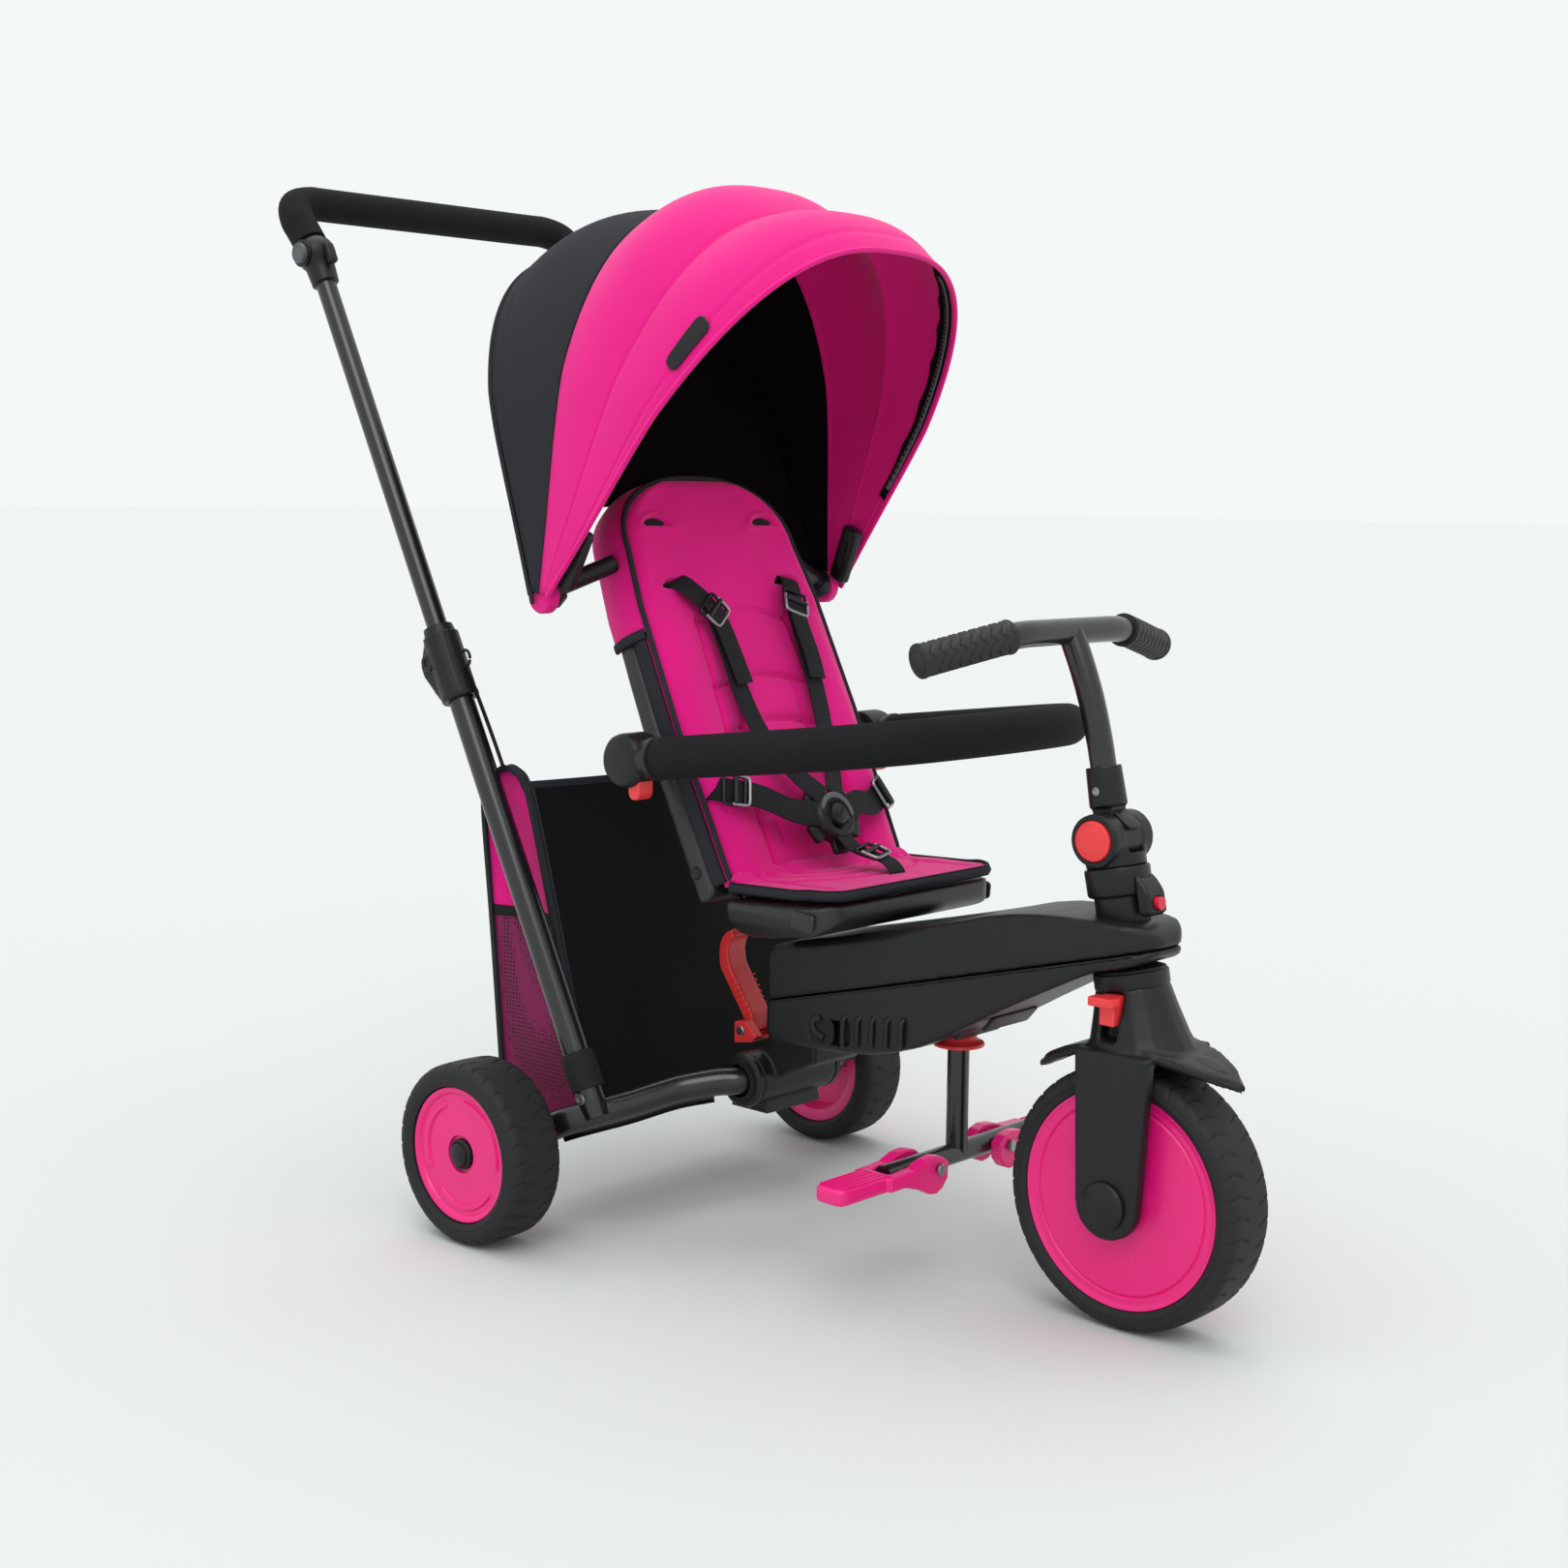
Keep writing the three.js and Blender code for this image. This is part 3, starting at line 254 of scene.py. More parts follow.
# ---- making pieces ----
def make(name, points, faces, body, slot, material=None, smooth=True, sharp=None):
    mesh = bpy.data.meshes.new(name)
    mesh.from_pydata([tuple(p) for p in points], [], faces)
    mesh.validate()
    mesh.materials.append(material or LOOK[slot])
    mesh.shade_smooth() if smooth else mesh.shade_flat()
    if sharp:
        mesh.set_sharp_from_angle(angle=math.radians(sharp))
    piece = bpy.data.objects.new(name, mesh)
    bpy.context.scene.collection.objects.link(piece)
    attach(piece, body)
    return piece


def baked(piece):
    """The piece with its modifiers made part of its mesh."""
    bpy.context.view_layer.update()
    graph = bpy.context.evaluated_depsgraph_get()
    mesh = bpy.data.meshes.new_from_object(piece.evaluated_get(graph))
    old = piece.data
    piece.modifiers.clear()
    piece.data = mesh
    bpy.data.meshes.remove(old)
    mesh.name = piece.name
    return piece


def copied(node, name, body, slot, material=None, voxel=0.0, rounds=0, angle=32):
    """A copy of a CAD node's mesh that stands for it: as it is, or remeshed (voxel size in mm) and eased."""
    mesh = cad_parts[node].data.copy()
    mesh.name = name
    mesh.materials.clear()
    mesh.materials.append(material or LOOK[slot])
    piece = bpy.data.objects.new(name, mesh)
    bpy.context.scene.collection.objects.link(piece)
    weld = piece.modifiers.new("weld", "WELD")
    weld.merge_threshold = 0.00002
    if voxel:
        remesh = piece.modifiers.new("remesh", "REMESH")
        remesh.mode = "VOXEL"
        remesh.voxel_size = voxel * MM
    if rounds:
        ease = piece.modifiers.new("ease", "SMOOTH")
        ease.iterations = rounds
        ease.factor = 0.6
    baked(piece)
    mesh = piece.data
    mesh.shade_smooth()
    if not voxel:
        mesh.set_sharp_from_angle(angle=math.radians(angle))
    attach(piece, body)
    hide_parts(node)
    return piece


def curve_points(points, count, tension=0.5):
    """Catmull-Rom points through the given ones, evenly spaced along the line."""
    pts = np.array([tuple(p) for p in points], float)
    ends = np.vstack([2 * pts[0] - pts[1], pts, 2 * pts[-1] - pts[-2]])
    fine = []
    for i in range(1, len(ends) - 2):
        p0, p1, p2, p3 = ends[i - 1:i + 3]
        for t in np.linspace(0, 1, 24, endpoint=False):
            m1 = tension * (p2 - p0)
            m2 = tension * (p3 - p1)
            fine.append((2 * t**3 - 3 * t**2 + 1) * p1 + (t**3 - 2 * t**2 + t) * m1
                        + (-2 * t**3 + 3 * t**2) * p2 + (t**3 - t**2) * m2)
    fine.append(pts[-1])
    fine = np.array(fine)
    run = np.concatenate([[0], np.cumsum(np.linalg.norm(np.diff(fine, axis=0), axis=1))])
    goal = np.linspace(0, run[-1], count)
    return np.stack([np.interp(goal, run, fine[:, k]) for k in range(3)], axis=1)


def frames_along(line, up=None):
    """Tangent, side and normal at each point: turned as little as possible, or kept to an up direction."""
    tangents = np.gradient(line, axis=0)
    tangents /= np.linalg.norm(tangents, axis=1, keepdims=True)
    normal = np.array(up if up is not None else (0, 0, 1), float)
    if up is None and abs(tangents[0] @ normal) > 0.9:
        normal = np.array((0, 1, 0), float)
    out = []
    for tangent in tangents:
        base = np.array(up, float) if up is not None else normal
        normal = base - tangent * (base @ tangent)
        normal /= np.linalg.norm(normal)
        out.append((tangent, np.cross(tangent, normal), normal))
    return out


def sweep(name, line, section, body, slot, material=None, up=None, closed=True, size=None, sharp=None):
    """A section of (side, normal) pairs in mm carried along a line in metres; its ends are closed."""
    line = np.array([tuple(p) for p in line], float)
    points = []
    count = len(section)
    for i, (p, (_, side, normal)) in enumerate(zip(line, frames_along(line, up))):
        grow = size(i / (len(line) - 1)) if size else 1
        for a, b in section:
            points.append(p + side * a * MM * grow + normal * b * MM * grow)
    faces = []
    for i in range(len(line) - 1):
        for j in range(count if closed else count - 1):
            k = (j + 1) % count
            faces.append((i * count + j, i * count + k, (i + 1) * count + k, (i + 1) * count + j))
    faces.append(tuple(range(count)))
    faces.append(tuple(reversed([(len(line) - 1) * count + j for j in range(count)])))
    return make(name, points, faces, body, slot, material, sharp=sharp or 50)


def ring(radius, sides=32):
    return [(radius * math.cos(math.tau * i / sides),
             radius * math.sin(math.tau * i / sides)) for i in range(sides)]


def flat_section(width, thickness):
    """A strap's section: flat, with rounded edges."""
    edge = thickness / 2
    half = width / 2 - edge
    right = [(half + edge * math.sin(a), -edge * math.cos(a)) for a in np.linspace(0, math.pi, 5)]
    return right + [(-x, -y) for x, y in right]


def tube(name, points, radius, body, slot, material=None, count=64, size=None, tension=0.5):
    return sweep(name, curve_points(points, count, tension), ring(radius), body, slot, material, size=size)


def lathe(name, profile, centre, axis, body, slot, material=None, turns=72, sharp=38, lift=None):
    """A profile of (radius, distance) pairs in mm turned about an axis through a point in metres."""
    axis = Vector(axis).normalized()
    side = axis.orthogonal().normalized()
    other = axis.cross(side)
    points = []
    for i in range(turns):
        angle = math.tau * i / turns
        way = side * math.cos(angle) + other * math.sin(angle)
        for r, d in profile:
            extra = lift(r, d, angle) if lift else 0
            points.append(Vector(centre) + way * r * MM + axis * (d + extra) * MM)
    n = len(profile)
    faces = []
    for i in range(turns):
        k = (i + 1) % turns
        for j in range(n - 1):
            faces.append((i * n + j, k * n + j, k * n + j + 1, i * n + j + 1))
    if profile[0][0] > 0 and profile[0] != profile[-1]:
        faces.append(tuple(i * n for i in reversed(range(turns))))
    if profile[-1][0] > 0 and profile[0] != profile[-1]:
        faces.append(tuple(i * n + n - 1 for i in range(turns)))
    piece = make(name, points, faces, body, slot, material)
    weld = piece.modifiers.new("weld", "WELD")
    weld.merge_threshold = 0.00001
    baked(piece)
    piece.data.shade_smooth()
    piece.data.set_sharp_from_angle(angle=math.radians(sharp))
    return piece


def rounded(name, outline, thickness, place, face, up, body, slot, material=None, bevel=1.0, segments=3):
    """A plate with rounded edges: (across, along) pairs in mm, standing off `place` along `face`."""
    face = Vector(face).normalized()
    along = (Vector(up) - face * Vector(up).dot(face)).normalized()
    across = along.cross(face)
    count = len(outline)
    base = [Vector(place) + across * a * MM + along * b * MM for a, b in outline]
    points = base + [p + face * thickness * MM for p in base]
    faces = [tuple(reversed(range(count))), tuple(range(count, 2 * count))]
    faces += [(i, (i + 1) % count, count + (i + 1) % count, count + i) for i in range(count)]
    piece = make(name, points, faces, body, slot, material)
    soft = piece.modifiers.new("bevel", "BEVEL")
    soft.width = bevel * MM
    soft.segments = segments
    soft.limit_method = "ANGLE"
    soft.angle_limit = math.radians(40)
    baked(piece)
    piece.data.shade_smooth()
    piece.data.set_sharp_from_angle(angle=math.radians(45))
    return piece


def oblong(width, height, corner, steps=6):
    """A rectangle with round corners, as (across, along) pairs."""
    out = []
    for cx, cy, start in ((1, 1, 0), (-1, 1, 90), (-1, -1, 180), (1, -1, 270)):
        for i in range(steps + 1):
            a = math.radians(start + 90 * i / steps)
            out.append((cx * (width / 2 - corner) + corner * math.cos(a),
                        cy * (height / 2 - corner) + corner * math.sin(a)))
    return out


def grid(name, place, nu, nv, body, slot, material=None, paint=None, around=False, thickness=0.0):
    """A sheet of place(u, v) points, u and v from 0 to 1; paint gives a material index from (u, v)."""
    columns = nv if around else nv + 1
    points = [place(i / nu, j / nv) for i in range(nu + 1) for j in range(columns)]
    faces = []
    marks = []
    for i in range(nu):
        for j in range(nv):
            k = (j + 1) % columns
            faces.append((i * columns + j, i * columns + k, (i + 1) * columns + k, (i + 1) * columns + j))
            marks.append(paint((i + 0.5) / nu, (j + 0.5) / nv) if paint else 0)
    piece = make(name, points, faces, body, slot, material[0] if isinstance(material, list) else material)
    if isinstance(material, list):
        for extra in material[1:]:
            piece.data.materials.append(extra)
        piece.data.polygons.foreach_set("material_index", marks)
    if thickness:
        shell = piece.modifiers.new("thickness", "SOLIDIFY")
        shell.thickness = thickness * MM
        shell.offset = 0
        baked(piece)
    return piece


def mix(a, b, t):
    return a + (b - a) * t


def step(low, high, value):
    t = min(1, max(0, (value - low) / (high - low)))
    return t * t * (3 - 2 * t)


def groove(distance, width):
    """1 in the middle of a groove, falling to 0 at its edges."""
    return math.exp(-((distance / width) ** 2))



# ---- wheels ----
def tyre(name, centre, outer, inner, half, blocks, body, node):
    """A moulded tyre: rounded shoulders, side rings, and slanted cuts across each half of its tread."""
    section = [(inner, -half + 2), (inner + 2.5, -half + 0.4), (inner + 4, -half),
               (inner + 4.6, -half - 0.4)]
    section += [(inner + 5.2, -half), (outer - 11, -half), (outer - 10.4, -half - 0.4), (outer - 9.8, -half)]
    shoulder = 9
    for step_angle in range(0, 91, 15):
        a = math.radians(step_angle)
        section.append((outer - shoulder + shoulder * math.sin(a),
                        -half + shoulder - shoulder * math.cos(a)))
    flat = half - shoulder
    section += [(outer + 0.4 * (1 - (d / flat) ** 2), d) for d in np.linspace(-flat, flat, 13)[1:-1]]
    section += [(r, -d) for r, d in reversed(section[:15])]
    section.append(section[0])
    turns = blocks * 12
    axis = Vector((0, 1, 0))
    points = []
    for i in range(turns):
        angle = math.tau * i / turns
        way = Vector((math.cos(angle), 0, math.sin(angle)))
        for r, d in section:
            cut = 0
            if r > outer - 6:
                along = angle * blocks / math.tau + 0.5 * (d > 0) + 0.42 * abs(abs(d) / half - 0.62) * 2
                phase = (along % 1) - 0.5
                reach = step(0.16, 0.3, abs(d) / half)
                cut = 1.5 * math.exp(-((phase / 0.06) ** 4)) * reach
            points.append(Vector(centre) + (way * (r - cut) + axis * d) * MM)
    n = len(section)
    faces = []
    for i in range(turns):
        k = (i + 1) % turns
        faces += [(i * n + j, i * n + j + 1, k * n + j + 1, k * n + j) for j in range(n - 1)]
    piece = make(name, points, faces, body, "tyre_rubber")
    weld = piece.modifiers.new("weld", "WELD")
    weld.merge_threshold = 0.00001
    baked(piece)
    piece.data.shade_smooth()
    piece.data.set_sharp_from_angle(angle=math.radians(42))
    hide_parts(node)


REAR_R = 76
FRONT_R = 101
TRACK_HALF = 218.5
WHEELBASE = 503


def rear_disc_relief(r, d, angle):
    """Raised curved bars near the rim of a rear wheel's outer face."""
    if d < 15 or not 20 < r < 49:
        return 0
    sector = (angle / math.tau * 3) % 1
    arc = step(0.06, 0.09, sector) * (1 - step(0.82, 0.85, sector))
    return 1.8 * arc * step(40.5, 41.5, r) * (1 - step(46, 47, r))


def rear_wheel(side, s):
    centre = at(0, s * TRACK_HALF, REAR_R)
    outward = (0, s, 0)
    body = f"rear_wheel_{side}"
    tyre(f"tread_rear_{side}", centre, REAR_R - 0.4, 57.4, 26.5, 30, body, f"rear_tyre_{side}")
    face = [(r, 19.6) for r in np.linspace(16, 38, 12)]
    face += [(r, 19.6) for r in np.linspace(39, 48, 19)]
    disc_profile = [(6.4, -20), (15, -20), (17, -8), (42, -8), (46, -21), (50, -22.4), (56.6, -22.4),
                    (57, -20),
                    (57, 21.5), (56, 23), (53.5, 23), (51.5, 21.8), (50.4, 20), (49, 19.6)]
    disc_profile += list(reversed(face)) + [(15.5, 17), (6.4, 17), (6.4, -20)]
    rim = lathe(f"disc_rear_{side}", disc_profile, centre, outward, body, "pink_plastic", turns=144,
                lift=rear_disc_relief)
    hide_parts(f"rear_rim_{side}")
    cap = [(0, 17.4), (13, 17.4), (13, 20.2), (12.4, 21), (11.2, 21.2), (10.6, 20.6), (10, 21), (9.4, 23),
           (7, 24.6), (3.5, 25.3), (0, 25.4)]
    dome = lathe(f"hub_dome_{side}", cap, centre, outward, body, "black_plastic", turns=48)
    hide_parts(f"rear_hub_cap_{side}")


def front_disc_relief(r, d, angle):
    """A round groove and four faint spokes lines on each face of the front disc."""
    face = 1 if d > 20 else -1 if d < -20 else 0
    if not face or not 26 < r < 80:
        return 0
    spoke = abs(((angle / math.tau * 4 + 0.12) % 1) - 0.5) * math.tau / 4 * r
    line = 0.5 * groove(spoke, 0.9) if 30 < r < 71 else 0
    return -face * (1.5 * groove(r - 73.5, 0.9) + line)


def front_wheel():
    centre = at(WHEELBASE, 0, FRONT_R)
    tyre("tread_front", centre, FRONT_R - 0.4, 84.4, 26.5, 40, "front_wheel", "front_tyre")
    radii = list(np.linspace(30, 70, 24)) + list(np.linspace(71, 76, 16)) + [78, 80]
    face = [(r, 23.0 + 0.9 * math.cos(r / 80 * math.pi / 2)) for r in radii]
    profile = [(6.3, -24.6), (26, -24.4)] + [(r, -d) for r, d in face]
    profile += [(81, -23.6), (82.2, -24.3), (83.6, -24.3), (84, -22), (84, 22), (83.6, 24.3), (82.2, 24.3),
                (81, 23.6)]
    profile += list(reversed(face)) + [(26, 24.4), (6.3, 24.6), (6.3, -24.6)]
    rim = lathe("disc_front", profile, centre, (0, 1, 0), "front_wheel", "pink_plastic", turns=192,
                lift=front_disc_relief)
    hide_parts("front_rim")
    for side, s in SIDES:
        cap = [(0, 43.9), (18.2, 43.9), (18.5, 44.4), (18.5, 46.6), (18, 47.4), (16.4, 48), (15.6, 47.6),
               (15.2, 48.4), (14.6, 49), (0, 49.3)]
        lathe(f"axle_cap_{side}", cap, centre, (0, s, 0), "fork", "black_plastic", turns=48)


# ---- fork and steering ----
STEER = Vector((493, 0, 262))
TILT = math.radians(11.2)
STEER_UP = Vector((-math.sin(TILT), 0, math.cos(TILT)))


def on_steer(d):
    return STEER + STEER_UP * d


def fender():
    """A pointed leaf arched over the front tyre, with a raised blank oval on its nose."""
    radius = 167
    middle = Vector((WHEELBASE + 8, 0, 221 - radius))

    def place(u, v):
        along = mix(-91, 88, u)
        half = 34.5 * max(0.0, 1 - (abs(along + 1.5) / 89.6) ** 2.4) ** 0.8
        a = math.asin((along + WHEELBASE - middle.x) / radius)
        w = mix(-1, 1, v)
        fall = 2.2 * abs(w) ** 3
        oval = ((along - 62) / 13) ** 2 + (w * half / 8) ** 2
        raised = 0.9 * (1 - step(0.75, 1.05, oval))
        r = radius - 3.2 - fall + raised
        return at(middle.x + r * math.sin(a), w * half, middle.z + r * math.cos(a))

    grid("fender_leaf", place, 90, 32, "fork", "black_plastic", SATIN_BLACK, thickness=5.4)


def fork():
    fender()
    copied("front_fork", "fork_frame", "fork", "black_plastic", SATIN_BLACK, voxel=1.6, rounds=5)
    collar = [(10.6, -3.6), (27.8, -3.6), (28.4, -2.6), (28.4, 7.2), (27.4, 8.4), (10.6, 8.4), (10.6, -3.6)]
    lathe("crown_collar", collar, at(*STEER), STEER_UP, "fork", "black_plastic", SATIN_BLACK, turns=64)
    copied("clutch_lever", "clutch_toggle", "clutch_lever", "coral_plastic", voxel=0.7, rounds=4)
    copied("front_axle", "front_spindle", "fork", "black_plastic")


def steering():
    column = [(0, -20), (10, -20), (10, 40), (19, 40), (20, 42), (20, 64), (23.2, 65.4), (24.4, 67),
              (24.8, 84.6),
              (24.2, 86.2), (0, 86.2)]
    post = lathe("column", column, at(*STEER), STEER_UP, "stem", "black_plastic", turns=64)
    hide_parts("steering_column")
    drum = [(0, -24.4), (18.2, -24.4), (19.4, -23), (19.4, 23), (18.2, 24.4), (0, 24.4)]
    lathe("hinge_drum", drum, at(*on_steer(108)), (0, 1, 0), "stem", "black_plastic", turns=64)
    lean = TILT - math.radians(48)
    front = Vector((-math.sin(lean), 0, math.cos(lean)))
    rounded("hinge_tongue", oblong(17, 20, 3), 1.6, at(*on_steer(108)) + front * 19 * MM, front,
            Vector((-math.cos(lean), 0, -math.sin(lean))), "handlebar_set", "black_plastic",
            SATIN_BLACK, bevel=0.6)
    copied("stem_hinge_base", "hinge_cup", "stem", "black_plastic", voxel=1.1, rounds=5)
    housing = copied("lock_housing", "lock_shell", "stem", "black_plastic", voxel=0.9, rounds=4)
    housing.data.name = "lock_shell"
    copied("steering_lock_button", "lock_button", "steering_lock", "coral_plastic", CRIMSON, voxel=0.5,
           rounds=3)
    hinge = on_steer(108)
    profile = [(0, 20.8), (15.3, 20.8), (15.4, 26.4), (14.8, 27.8), (13.2, 28.6), (12.2, 28.3), (11.6, 28.6),
               (8, 29), (0, 29.1)]
    button = lathe("stem_button", profile, at(*hinge), (0, -1, 0), "stem_release", "coral_plastic", turns=56)
    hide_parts("stem_release_button")
    bezel = [(15.9, 24.4), (17.6, 24.4), (19.4, 25.2), (19.4, 25.9), (17.8, 26.6), (16.2, 26.2),
             (15.9, 24.4)]
    lathe("stem_button_ring", bezel, at(*hinge), (0, -1, 0), "stem", "black_plastic", turns=56)
    cup = [(0, 24.6), (12.5, 24.6), (14, 25.6), (13, 26.4), (0, 26.6)]
    lathe("stem_hinge_plug", cup, at(*hinge), (0, 1, 0), "stem", "black_plastic", turns=40)
    socket = copied("stem_socket", "stem_knuckle", "handlebar_set", "black_plastic", voxel=1.0, rounds=4)
    socket.data.name = "stem_knuckle"
    screw = [(0, 0), (3.2, 0), (3.2, 0.8), (2.6, 1.2), (1.6, 1.2), (1.2, 0.6), (0, 0.6)]
    lathe("socket_screw", screw, at(*on_steer(144)) + Vector((0, -0.0137, 0)), (0, -1, 0), "handlebar_set",
          "grey_plastic", DARK_METAL, turns=24)
    lift = (140, 165, 185, 213, 240, 263)
    lean = (0, 0, 0.6, 3, 8, 14)
    path = [on_steer(d) - Vector((b, 0, 0)) for d, b in zip(lift, lean)]
    top = path[-1]
    half = ((0, 0), (30, 0), (60, 0.5), (86, 5), (119, 14), (148, 22))
    cross = [at(top.x - b, -y, top.z - 0.75 * b) for y, b in reversed(half[1:])]
    cross += [at(top.x - b, y, top.z - 0.75 * b) for y, b in half]
    stem = tube("stem_tube", [at(*p) for p in path], 10, "handlebar_set", "black_tube", count=40)
    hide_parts("handlebar")
    tube("cross_tube", cross, 10, "handlebar_set", "black_tube", count=90)
    for side, s in SIDES:
        grip(side, s, top, half)


def grip(side, s, top, half):
    """A rubber grip whose chevron blocks run along it like a tyre's tread, with a round end plate."""
    ends = [(y, b) for y, b in half[3:]] + [(152, 23.2)]
    path = [at(top.x - b, s * y, top.z - 0.75 * b) for y, b in [(74, 2.4)] + ends]
    line = curve_points(path, 150)
    frames = frames_along(line, up=(0, 0, 1))
    around = 48
    points = []
    for i, (p, (_, across, normal)) in enumerate(zip(line, frames)):
        t = i / (len(line) - 1)
        for j in range(around):
            a = math.tau * j / around
            zig = abs(((j / around * 6) % 1) - 0.5) * 2
            wave = ((t * 9 + 0.5 * zig) % 1) - 0.5
            edge = ((t * 9 + 0.5 * zig + 0.5 * (math.floor(j / around * 6) % 2)) % 1) - 0.5
            block = 1.3 * groove(edge, 0.1) + 0.25 * groove(wave, 0.1)
            lip = step(0.0, 0.04, t) * (1 - step(0.95, 0.97, t))
            r = 12.6 - block * lip + 0.5 * (1 - lip)
            r *= 1 - 0.22 * step(0.985, 1.0, t)
            points.append(Vector(p) + Vector(across) * r * math.cos(a) * MM
                          + Vector(normal) * r * math.sin(a) * MM)
    faces = []
    for i in range(len(line) - 1):
        for j in range(around):
            k = (j + 1) % around
            faces.append((i * around + j, i * around + k, (i + 1) * around + k, (i + 1) * around + j))
    faces.append(tuple(range(around)))
    faces.append(tuple(reversed(range((len(line) - 1) * around, len(line) * around))))
    sleeve = make(f"grip_sleeve_{side}", points, faces, "handlebar_set", "grip_rubber", sharp=50)
    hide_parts(f"handlebar_grip_{side}")
    tangent = Vector(frames[-1][0])
    plate_profile = [(0, -0.6), (9.6, -0.6), (9.9, 0.2), (9.2, 0.8), (8.4, 0.9), (7.9, 0.3), (7.4, 0.6),
                     (0, 0.8)]
    lathe(f"grip_end_{side}", plate_profile, Vector(line[-1]), tangent, "handlebar_set", "grip_rubber",
          turns=40)


# ---- boom and hinge ----


def boom():
    upper = copied("boom_upper_shell", "body_upper", "chassis", "black_plastic", SATIN_BLACK, voxel=2.2,
                   rounds=9)
    lower = copied("boom_lower_shell", "body_lower", "chassis", "black_plastic", SATIN_BLACK, voxel=2.2,
                   rounds=7)
    upper.data.name = "body_upper"
    lower.data.name = "body_lower"
    # The seam's raised lip, a fine line that climbs from the rear to the nose.
    for side, s in SIDES:
        line = []
        for t in np.linspace(0, 1, 40):
            x = mix(176, 512, t)
            z = 200.9 + (x - 158) * (95 / 379.0) - 1.5
            half = 54.6 if x < 300 else mix(54.6, 37.6, (x - 300) / 187) if x < 490 else \
                math.sqrt(max(0, 37.6**2 - (x - 490) ** 2))
            line.append(at(x, s * (half + 0.15), z))
        sweep(f"seam_lip_{side}", curve_points(line, 90), ring(0.8, 10), "chassis", "black_plastic",
              SATIN_BLACK)
        for k in range(5):
            x = mix(256, 316, k / 4)
            low = mix(180, 189, k / 4)
            high = mix(205, 212, k / 4)
            bar = curve_points([at(x, s * 53.6, low), at(x + 0.5, s * 56.2, low + 4),
                                at(x + 1, s * 56.2, high - 4),
                                at(x + 1.5, s * 53.8, high)], 20)
            sweep(f"grip_rib_{side}_{k}", bar, flat_section(5, 3.4), "chassis", "black_plastic", SATIN_BLACK,
                  up=(0, s, 0))
        # A flat near-black plate on each side of the boom: painted shade standing for the shaded grip
        # recess.
        rounded(f"side_well_shade_{side}", oblong(36, 24, 9), 1.0, at(228, s * 53.6, 189), (0, s, 0), (0, 0, 1),
                "chassis",
                "black_plastic", SLOT_SHADE_AND_ZIP_BLACK, bevel=0.3, segments=1)
        hook = [at(232, s * 55, 200), at(224, s * 56, 196), at(226, s * 56, 188), at(236, s * 55.6, 184)]
        sweep(f"side_hook_{side}", curve_points(hook, 40), flat_section(6, 3), "chassis", "black_plastic",
              SATIN_BLACK, up=(0, s, 0))
    # Two slanted flaps under the boom, ahead of the footrest post.
    for k, x in enumerate((352, 380)):
        rounded(f"belly_flap_{k}", oblong(58, 17, 3), 3, at(x, 0, 204 + k * 12), (0.75, 0, -0.66),
                (0.66, 0, 0.75),
                "chassis", "black_plastic", SATIN_BLACK)
    copied("steering_bearing", "bearing_ring", "chassis", "black_plastic", SATIN_BLACK, voxel=0.9, rounds=3)
    housing = copied("hinge_housing", "hinge_barrel", "chassis", "black_plastic", voxel=1.4, rounds=5)
    housing.data.name = "hinge_barrel"
    for side, s in SIDES:
        collar = [(14, 0), (22.2, 0), (23, 1), (23, 5), (21.4, 6.4), (18.5, 6.6), (18, 9.5), (14, 9.5),
                  (14, 0)]
        lathe(f"barrel_collar_{side}", collar, at(140, s * 45.3, 130), (0, s, 0), "chassis", "black_plastic",
              turns=56)
        bolt = [(0, 0), (5.4, 0), (5.4, 2.2), (4.8, 2.8), (2.6, 2.8), (2.2, 1.6), (0, 1.6)]
        lathe(f"foot_bolt_{side}", bolt, at(134, s * 34, 108), (0, s, 0), "chassis", "grey_plastic",
              DARK_METAL,
              turns=28)


def fold_lever():
    bracket = copied("lever_bracket", "lever_saddle", "chassis", "coral_plastic", voxel=0.9, rounds=4)
    bracket.data.name = "lever_saddle"
    lever = copied("fold_lever", "fold_handle", "fold_lever", "coral_plastic", voxel=0.9, rounds=4)
    lever.data.name = "fold_handle"
    for k in range(7):
        x = mix(109, 92, k / 6)
        z = mix(176, 203, k / 6)
        for side, s in SIDES:
            rounded(f"lever_rib_{side}_{k}", oblong(10, 1.8, 0.8, 3), 1.0, at(x, s * 11.2, z), (0, s, 0),
                    (-0.5, 0, 0.85),
                    "fold_lever", "coral_plastic", bevel=0.4, segments=2)
    for side, s in SIDES:
        head = [(0, 0), (4.4, 0), (4.4, 1), (3.6, 1.7), (0, 1.9)]
        lathe(f"lever_rivet_{side}", head, at(112, s * 22, 163), (0, s, 0), "chassis", "grey_plastic",
              DARK_METAL,
              turns=28)


# ---- rear frame ----
LEAN = math.radians(27.2)
TUBE_UP = Vector((-math.sin(LEAN), 0, math.cos(LEAN)))
TUBE_BACK = Vector((-math.cos(LEAN), 0, -math.sin(LEAN)))
TUBE_Y = 165


def on_tube(s, d, back=0.0):
    return Vector((79, s * TUBE_Y, 124)) + TUBE_UP * d + TUBE_BACK * back


